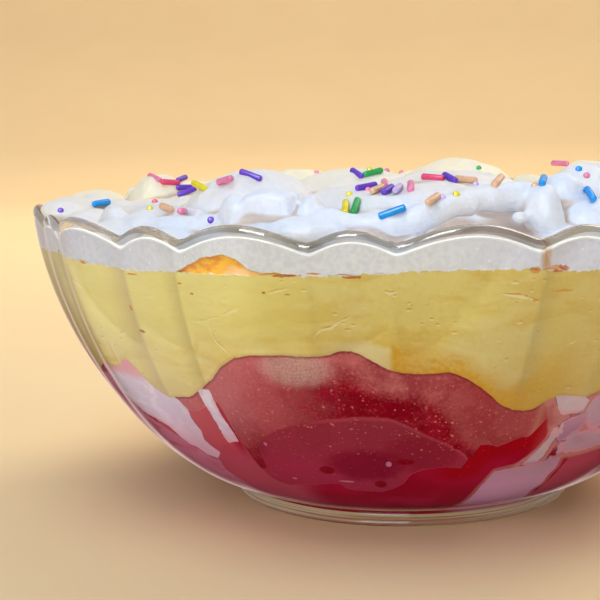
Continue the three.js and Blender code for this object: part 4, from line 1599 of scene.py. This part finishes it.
# Painted light: bluish at the front and warm at the back, for the cool and warm light falling there.
back_for_light_tint = cream.axis("Y") / MM + (cream.cloud(30, 2) - 0.5) * 30
cream_colour = cream.coats(
    cream.mix(tone(238, 243, 255), tone(242, 236, 228), back_for_light_tint.between(-85, -45)),
    (tone(254, 241, 208), back_for_light_tint.between(-25, 15)),
    (tone(228, 234, 248), flecks.between(0.4, 0.7) * (0.6 - back_for_light_tint.between(-60, -10) * 0.35)),
    (tone(250, 244, 230), cream.cloud(22, 2).between(0.5, 0.7) * 0.4),
    # Painted shade: tan in the creases and under the long fold.
    (tone(202, 176, 152), cream.kept("hollow").between(0.12, 0.85) * 0.8),
)
cream.dress([heaps], colour=cream_colour, bump=flecks + cream.cloud(0.7, 2) * 0.3, depth=0.35)

pressed = Finish("cream_at_glass", Roughness=0.6, Specular_IOR_Level=0.05)
bubbles = pressed.cells(1.8).until(0.13, 0.22) * pressed.cloud(6).between(0.46, 0.6)
in_front = pressed.kept("turn").between(-46, -20) * pressed.kept("turn").until(0, 20)
frothy = pressed.cloud(1.3, 3).between(0.4, 0.6)
rim_highlight_line = pressed.kept("top").between(0.35, 0.9)
arched = pressed.kept("arched")
pressed_colour = pressed.coats(
    pressed.mix(tone(228, 230, 244), tone(219, 222, 238), pressed.cloud(1.6, 3).between(0.4, 0.65)),
    (tone(246, 250, 255), in_front * (frothy * 0.4 + 0.58)),
    (tone(255, 255, 255), bubbles),
    # Painted highlight along the top edge, then painted shade in the gap at each flute valley.
    (tone(252, 254, 255), rim_highlight_line),
    (tone(206, 160, 110), pressed.kept("seam") * pressed.cloud(3, 2).between(0.25, 0.5)),
    # Painted reflection of the glass creases.
    (tone(204, 202, 206), pressed.kept("rib") * (1 - rim_highlight_line) * 0.4),
)
ragged = pressed.kept("above_low") - ragged_by(pressed) * (1 - arched * 0.7)
# Under the arch the colour below the ragged edge is a deeper orange, painted shade.
below = pressed.mix(tone(240, 218, 130), tone(236, 176, 60), arched)
pressed_colour = marked(pressed, pressed.mix(below, pressed_colour, ragged.between(-0.12, 0.12)))
pressed.dress([cream_side], colour=pressed_colour, bump=pressed.cloud(1.6, 3), depth=0.1)
print("cream has", len(cream.tree.nodes), "nodes and", len(pressed.tree.nodes), "at the glass")


# %% [markdown]
# ## Sprinkles
# Sugar sprinkles are short rods with rounded ends, 7 mm long. One rod is modelled, and each one
# on the cream is a copy laid on the slope beneath it. Those at the front have a place of their
# own. The rest are strewn by a seeded draw where the heaps hide them from the front.

# %% Model one rod
ROD_LENGTH, ROD_RADIUS, ROD_SINK = 7.0, 0.95, 0.35
ROD_SIDES, ROD_ROUNDING, ROUNDING_STEPS = 10, 0.55, 3

clear_selection()
bpy.ops.mesh.primitive_cylinder_add(vertices=ROD_SIDES, radius=ROD_RADIUS * MM, depth=ROD_LENGTH * MM)
rod = bpy.context.object
rod.name = "one_rod"
bpy.ops.object.mode_set(mode="EDIT")
bpy.ops.mesh.select_all(action="DESELECT")
bpy.ops.object.mode_set(mode="OBJECT")
for edge in rod.data.edges:
    heights = [rod.data.vertices[end].co.z for end in edge.vertices]
    edge.select = abs(heights[0] - heights[1]) < ROD_RADIUS * MM
bpy.ops.object.mode_set(mode="EDIT")
bpy.ops.mesh.bevel(offset=ROD_RADIUS * ROD_ROUNDING * MM, segments=ROUNDING_STEPS)
bpy.ops.object.mode_set(mode="OBJECT")
rod_points = coordinates(rod)
print("one rod has", len(rod.data.polygons), "faces")


# %% Where the rods show
PURPLE, PINK, HOT_PINK, GREEN = "purple", "pink", "hot_pink", "green"
YELLOW, BLUE, PEACH, LAVENDER = "yellow", "blue", "peach", "lavender"
SEEN_RODS = [
    (BLUE, (92, 205.7), (109.5, 202.5)), (PURPLE, (60.5, 210.5), (63, 213)),
    (PINK, (149, 178.5), (161, 182)), (HOT_PINK, (161, 181.5), (179, 184)),
    (PURPLE, (177, 181.5), (186, 177)), (PURPLE, (175.6, 188.5), (196, 187)),
    (PURPLE, (178, 197), (196, 188)), (YELLOW, (193, 182.7), (206, 190)),
    (HOT_PINK, (155, 202), (156, 207)), (PEACH, (161, 207.6), (172, 209.5)),
    (YELLOW, (150, 209), (155, 209)), (PINK, (180, 211), (186, 212)),
    (PURPLE, (212, 219), (216, 217.5)), (PINK, (219, 184), (232, 178)),
    (PURPLE, (240, 171.9), (261, 180.8)), (YELLOW, (345.4, 215.3), (346.7, 202.5)),
    (GREEN, (353.7, 215.9), (358.2, 200.6)), (BLUE, (379.2, 217.8), (406.5, 206.8)),
    (PURPLE, (351.8, 171), (362, 178.3)), (GREEN, (363.3, 176.4), (382.4, 169.8)),
    (YELLOW, (370, 170), (374, 169)), (PINK, (386, 169), (391, 168)),
    (PURPLE, (356, 189), (377, 186.6)), (PINK, (368, 190.4), (371, 191)),
    (PEACH, (371.6, 191), (383, 188.5)), (PINK, (384.3, 181.5), (385, 188)),
    (PURPLE, (383, 192.3), (392.6, 188.5)), (LAVENDER, (395, 190.4), (401, 187.8)),
    (YELLOW, (350, 194.5), (354, 194.5)), (PINK, (410.8, 182.7), (410.8, 191.7)),
    (HOT_PINK, (421.7, 176.4), (444, 180.2)), (PURPLE, (444, 176), (455.5, 183)),
    (PEACH, (455, 178), (476.5, 182)), (LAVENDER, (475, 184), (479, 185)),
    (PEACH, (502, 176), (493.8, 187.2)), (PEACH, (427.4, 202.5), (439.5, 197.4)),
    (LAVENDER, (443, 197), (448, 197)), (YELLOW, (456, 194.6), (460, 194)),
    (BLUE, (544, 177), (542.2, 186)), (PEACH, (536, 186), (540, 186)),
    (PINK, (551.8, 163), (569, 159.5)), (BLUE, (579, 169), (583, 169)),
    (PINK, (587, 175), (592, 174.6)), (BLUE, (584.3, 189.1), (593.9, 199.3)),
    (GREEN, (479, 168), (483, 167.6)), (PINK, (402, 171), (406, 171)),
    (PINK, (316, 172.8), (321, 172.6)),
]
ROD_COLOURS = {
    PURPLE: (116, 68, 216), PINK: (255, 144, 184), HOT_PINK: (255, 84, 132), GREEN: (44, 186, 96),
    YELLOW: (255, 238, 36), BLUE: (16, 168, 255), PEACH: (255, 206, 164), LAVENDER: (224, 204, 255),
}

rods = {name: [] for name in ROD_COLOURS}
print(len(SEEN_RODS), "rods show")


# %% Find places on the cream
TIP, TIP_SINK, TIP_DEPTH = 5.2, 0.4, 2.2
SIGHT_DROP, SIGHT_DROPS = 0.4, 60
STRAY_COST, HANGING_COST = 0.4, 0.5
CLOSE_ENOUGH = 0.5

cream_skin = BVHTree.FromObject(heaps, bpy.context.evaluated_depsgraph_get())


def lay_rod(colour, middle, way):
    """Puts one rod down with its middle at a place and its length along a way."""
    way = way.normalized()
    aside = way.orthogonal().normalized()
    axes = Matrix((aside, way.cross(aside), way)).transposed()
    rods[colour].append(rod_points @ np.array(axes).T + np.array(middle / MM))


def seen_place(pixel):
    """Where a sight line meets the cream. One that passes over it is lowered until it meets."""
    for drop in range(SIGHT_DROPS):
        lowered = (pixel[0], pixel[1] + drop * SIGHT_DROP)
        hit, normal, _, _ = cream_skin.ray_cast(CAMERA_PLACE, sight_line(lowered))
        if hit:
            return hit + normal * (ROD_RADIUS - ROD_SINK) * MM
    return None


def pixel_of(spot):
    """The inverse of sight_line."""
    line = spot - CAMERA_PLACE
    scale = IMAGE_SIDE * CAMERA_LENS / SENSOR / line.dot(ahead)
    return IMAGE_SIDE / 2 + line.dot(camera_right) * scale, IMAGE_SIDE / 2 - line.dot(camera_up) * scale


def uncovered(spot):
    """Whether no cream stands between the camera and a place."""
    line = spot - CAMERA_PLACE
    first = cream_skin.ray_cast(CAMERA_PLACE, line.normalized())[0]
    return first is None or (first - CAMERA_PLACE).length > line.length - CLOSE_ENOUGH * MM


def in_view(spot):
    """Whether a place is uncovered and left of the picture's right edge, where the rods are drawn."""
    line = spot - CAMERA_PLACE
    return uncovered(spot) and line.dot(camera_right) / line.dot(ahead) < SENSOR / 2 / CAMERA_LENS


def rods_between(start, end):
    """Rods whose one end shows at a pixel and whose other end lies on the sight line of another."""
    near = seen_place(start)
    if near is None:
        return []
    line = sight_line(end)
    along = (near - CAMERA_PLACE).dot(line)
    spare = (ROD_LENGTH * MM) ** 2 - (near - CAMERA_PLACE - along * line).length_squared
    found = []
    for turn in (-1, 1):
        far = CAMERA_PLACE + (along + turn * math.sqrt(max(0, spare))) * line
        ground, normal = cream_skin.find_nearest(far)[:2]
        far = far + normal * max(0, (ROD_RADIUS - ROD_SINK) * MM - (far - ground).dot(normal))
        found.append((near, far))
    return found


def fitness(ends, drawn):
    """How well a rod is seen, less how far it strays from where it should show or hangs in the air."""
    near, far = ends
    far = near + (far - near).normalized() * ROD_LENGTH * MM
    spots = [near.lerp(far, share) - ahead * ROD_RADIUS * MM for share in (0.1, 0.3, 0.5, 0.7, 0.9)]
    seen = (pixel_of(near), pixel_of(far))
    stray = min(math.dist(seen[0], one) + math.dist(seen[1], other) for one, other in (drawn, drawn[::-1]))
    hanging = (far - cream_skin.find_nearest(far)[0]).length / MM - ROD_RADIUS
    return sum(map(uncovered, spots)) - stray * STRAY_COST - hanging * HANGING_COST


print("the first rod shows at", seen_place(SEEN_RODS[0][1]))


# %% Lay the rods that show
for colour, start, end in SEEN_RODS:
    if math.dist(start, end) < TIP:
        tip = seen_place(start)
        if tip is not None:
            inwards = (level_ahead * 2 - Vector((0, 0, 1))).normalized()
            lowered = tip - Vector((0, 0, TIP_SINK * MM))
            lay_rod(colour, lowered + inwards * ROD_LENGTH / TIP_DEPTH * MM, inwards)
        continue
    choices = rods_between(start, end) + rods_between(end, start)
    if choices:
        near, far = max(choices, key=lambda ends: fitness(ends, (start, end)))
        lay_rod(colour, near + (far - near).normalized() * ROD_LENGTH / 2 * MM, far - near)

print(sum(map(len, rods.values())), "rods laid")


# %% Strew the rest
STREWN = 190
STREW_REACH, STREW_FRONT, STREW_HEIGHT = 103, -66, 150
SIGHT_LIFT = 2.6

strew_draw = np.random.default_rng(8)
names = list(ROD_COLOURS)
for _ in range(STREWN):
    radius = STREW_REACH * math.sqrt(strew_draw.uniform())
    turn = strew_draw.uniform(0, 2 * math.pi)
    heading = strew_draw.uniform(0, 2 * math.pi)
    colour = names[strew_draw.integers(len(names))]
    above = Vector((radius * math.cos(turn), radius * math.sin(turn), STREW_HEIGHT)) * MM
    hit, normal, _, _ = cream_skin.ray_cast(above, Vector((0, 0, -1)))
    way = Vector((math.cos(heading), math.sin(heading), 0))
    way = (way - way.dot(normal) * normal).normalized()
    middle = hit + normal * (ROD_RADIUS - ROD_SINK) * MM
    lifted = middle + normal * SIGHT_LIFT * MM
    reach = [lifted + way * ROD_LENGTH * MM * share for share in (-0.5, -0.25, 0, 0.25, 0.5)]
    if hit.y < STREW_FRONT * MM or any(map(in_view, reach)):
        continue
    lay_rod(colour, middle, way)

print(sum(map(len, rods.values())), "rods with the strewn ones")


# %% Make one piece of each colour
SUGAR_SHADE = 0.93

rod_faces = [list(face.vertices) for face in rod.data.polygons]
for name, laid in rods.items():
    mesh = bpy.data.meshes.new("sprinkles_" + name)
    count = len(rod_points)
    faces = [[index + number * count for index in face] for number in range(len(laid)) for face in rod_faces]
    mesh.from_pydata((np.concatenate(laid) * MM).tolist(), [], faces)
    piece = bpy.data.objects.new("sprinkles_" + name, mesh)
    bpy.context.collection.objects.link(piece)
    sugar = Finish("sugar_" + name, Roughness=0.38, Specular_IOR_Level=0.4)
    shade = sugar.cloud(2.4, 2).between(0.3, 0.7)
    dark, light = (tone(*[part * scale for part in ROD_COLOURS[name]]) for scale in (SUGAR_SHADE, 1))
    sugar.dress([piece], colour=sugar.mix(dark, light, shade), bump=sugar.cloud(0.5, 2), depth=0.08)
    finish_piece(piece, "cream", sharp=50)
bpy.data.objects.remove(rod)


# %% [markdown]
# ## Light and floor
# A pale warm floor curves up behind into a low wall all round, so no hard horizon shows. A large
# soft lamp stands to the right, a cooler one fills the front, and the sky is warm and even.

# %% Build the floor and the lamps
FLOOR_RINGS = [(0, 0), (0.5, 0), (1.6, 0), (2.2, 0.06), (2.8, 0.3), (3.2, 0.75), (3.4, 1.4)]
FLOOR_SIDES = 96
LAMPS = [
    ("key", (0.7, 0.8, 0.95), (0, 0, 0.05), 0.7, 7.4, (1.0, 0.87, 0.68)),
    ("top", (-0.15, -0.45, 1.25), (0, 0, 0.05), 0.7, 5.0, (0.77, 0.88, 1.0)),
    ("fill", (-0.3, -1.45, 0.55), (0, 0, 0.05), 0.9, 9.0, (0.71, 0.86, 1.0)),
    ("glint", (-0.35, -0.85, 0.95), (0, 0, 0.05), 0.6, 24, (0.92, 0.96, 1.0)),
    ("low_left", (-1.2, -0.9, 0.14), (0, 0, 0.04), 0.6, 3.0, (1.0, 0.95, 0.98)),
    ("low_right", (1.2, -0.9, 0.14), (0, 0, 0.04), 0.6, 2.4, (1.0, 0.96, 0.97)),
    ("wash", (0, 0.9, 1.5), (0, 2.6, 0.1), 1.0, 26, (1.0, 0.87, 0.66)),
]
UNMIRRORED, ONLY_MIRRORED = ("low_left", "low_right"), ("glint",)

floor = draw_line("pale_floor", [(radius / MM, 0, height / MM) for radius, height in FLOOR_RINGS])
spin_section(FLOOR_SIDES, 0.01)
bpy.ops.object.shade_smooth()
floor.visible_glossy = False
paper = Finish("pale_paper", Roughness=0.8, Specular_IOR_Level=0.2)
paper.dress([floor], colour=paper.mix(tone(252, 223, 174), tone(248, 217, 168), paper.cloud(120, 2)))

for name, place, target, side, power, colour in LAMPS:
    clear_selection()
    bpy.ops.object.light_add(type="AREA", location=place)
    lamp = bpy.context.object
    lamp.name = name
    lamp.data.size = side
    lamp.data.energy = power
    lamp.data.color = colour
    lamp.visible_transmission = False
    lamp.visible_glossy = name not in UNMIRRORED
    lamp.visible_diffuse = name not in ONLY_MIRRORED
    lamp.rotation_mode = "QUATERNION"
    lamp.rotation_quaternion = (Vector(place) - Vector(target)).to_track_quat("Z", "Y")

print(len(LAMPS), "lamps")


# %% Colour the sky
SKY = (0.27, 0.3, 0.36, 1)
SIDE_GLOW = (0.84, 0.75, 0.76, 1)
BACK_GLOW = (0.8, 0.62, 0.56, 1)
BELOW = (0.055, 0.025, 0.03, 1)
FAR_FLOOR = (0.5, 0.41, 0.34, 1)

sky = bpy.data.worlds.new("sky")
bpy.context.scene.world = sky
sky.use_nodes = True
heaven = Sum(sky.node_tree, "Generated")
sideways, backwards, upwards = (heaven.axis(name) for name in "XYZ")
glow = heaven.coats(
    BELOW,
    (SIDE_GLOW, abs(sideways).between(0.45, 0.8)),
    (FAR_FLOOR, backwards.between(0.05, 0.45) * upwards.between(-0.3, -0.1)),
    (SKY, upwards.between(0.0, 0.1)),
    (BACK_GLOW, backwards.between(0.78, 0.95)),
)
heaven.feed(sky.node_tree.nodes["Background"].inputs["Color"], glow)
bpy.context.scene.view_settings.view_transform = "Standard"
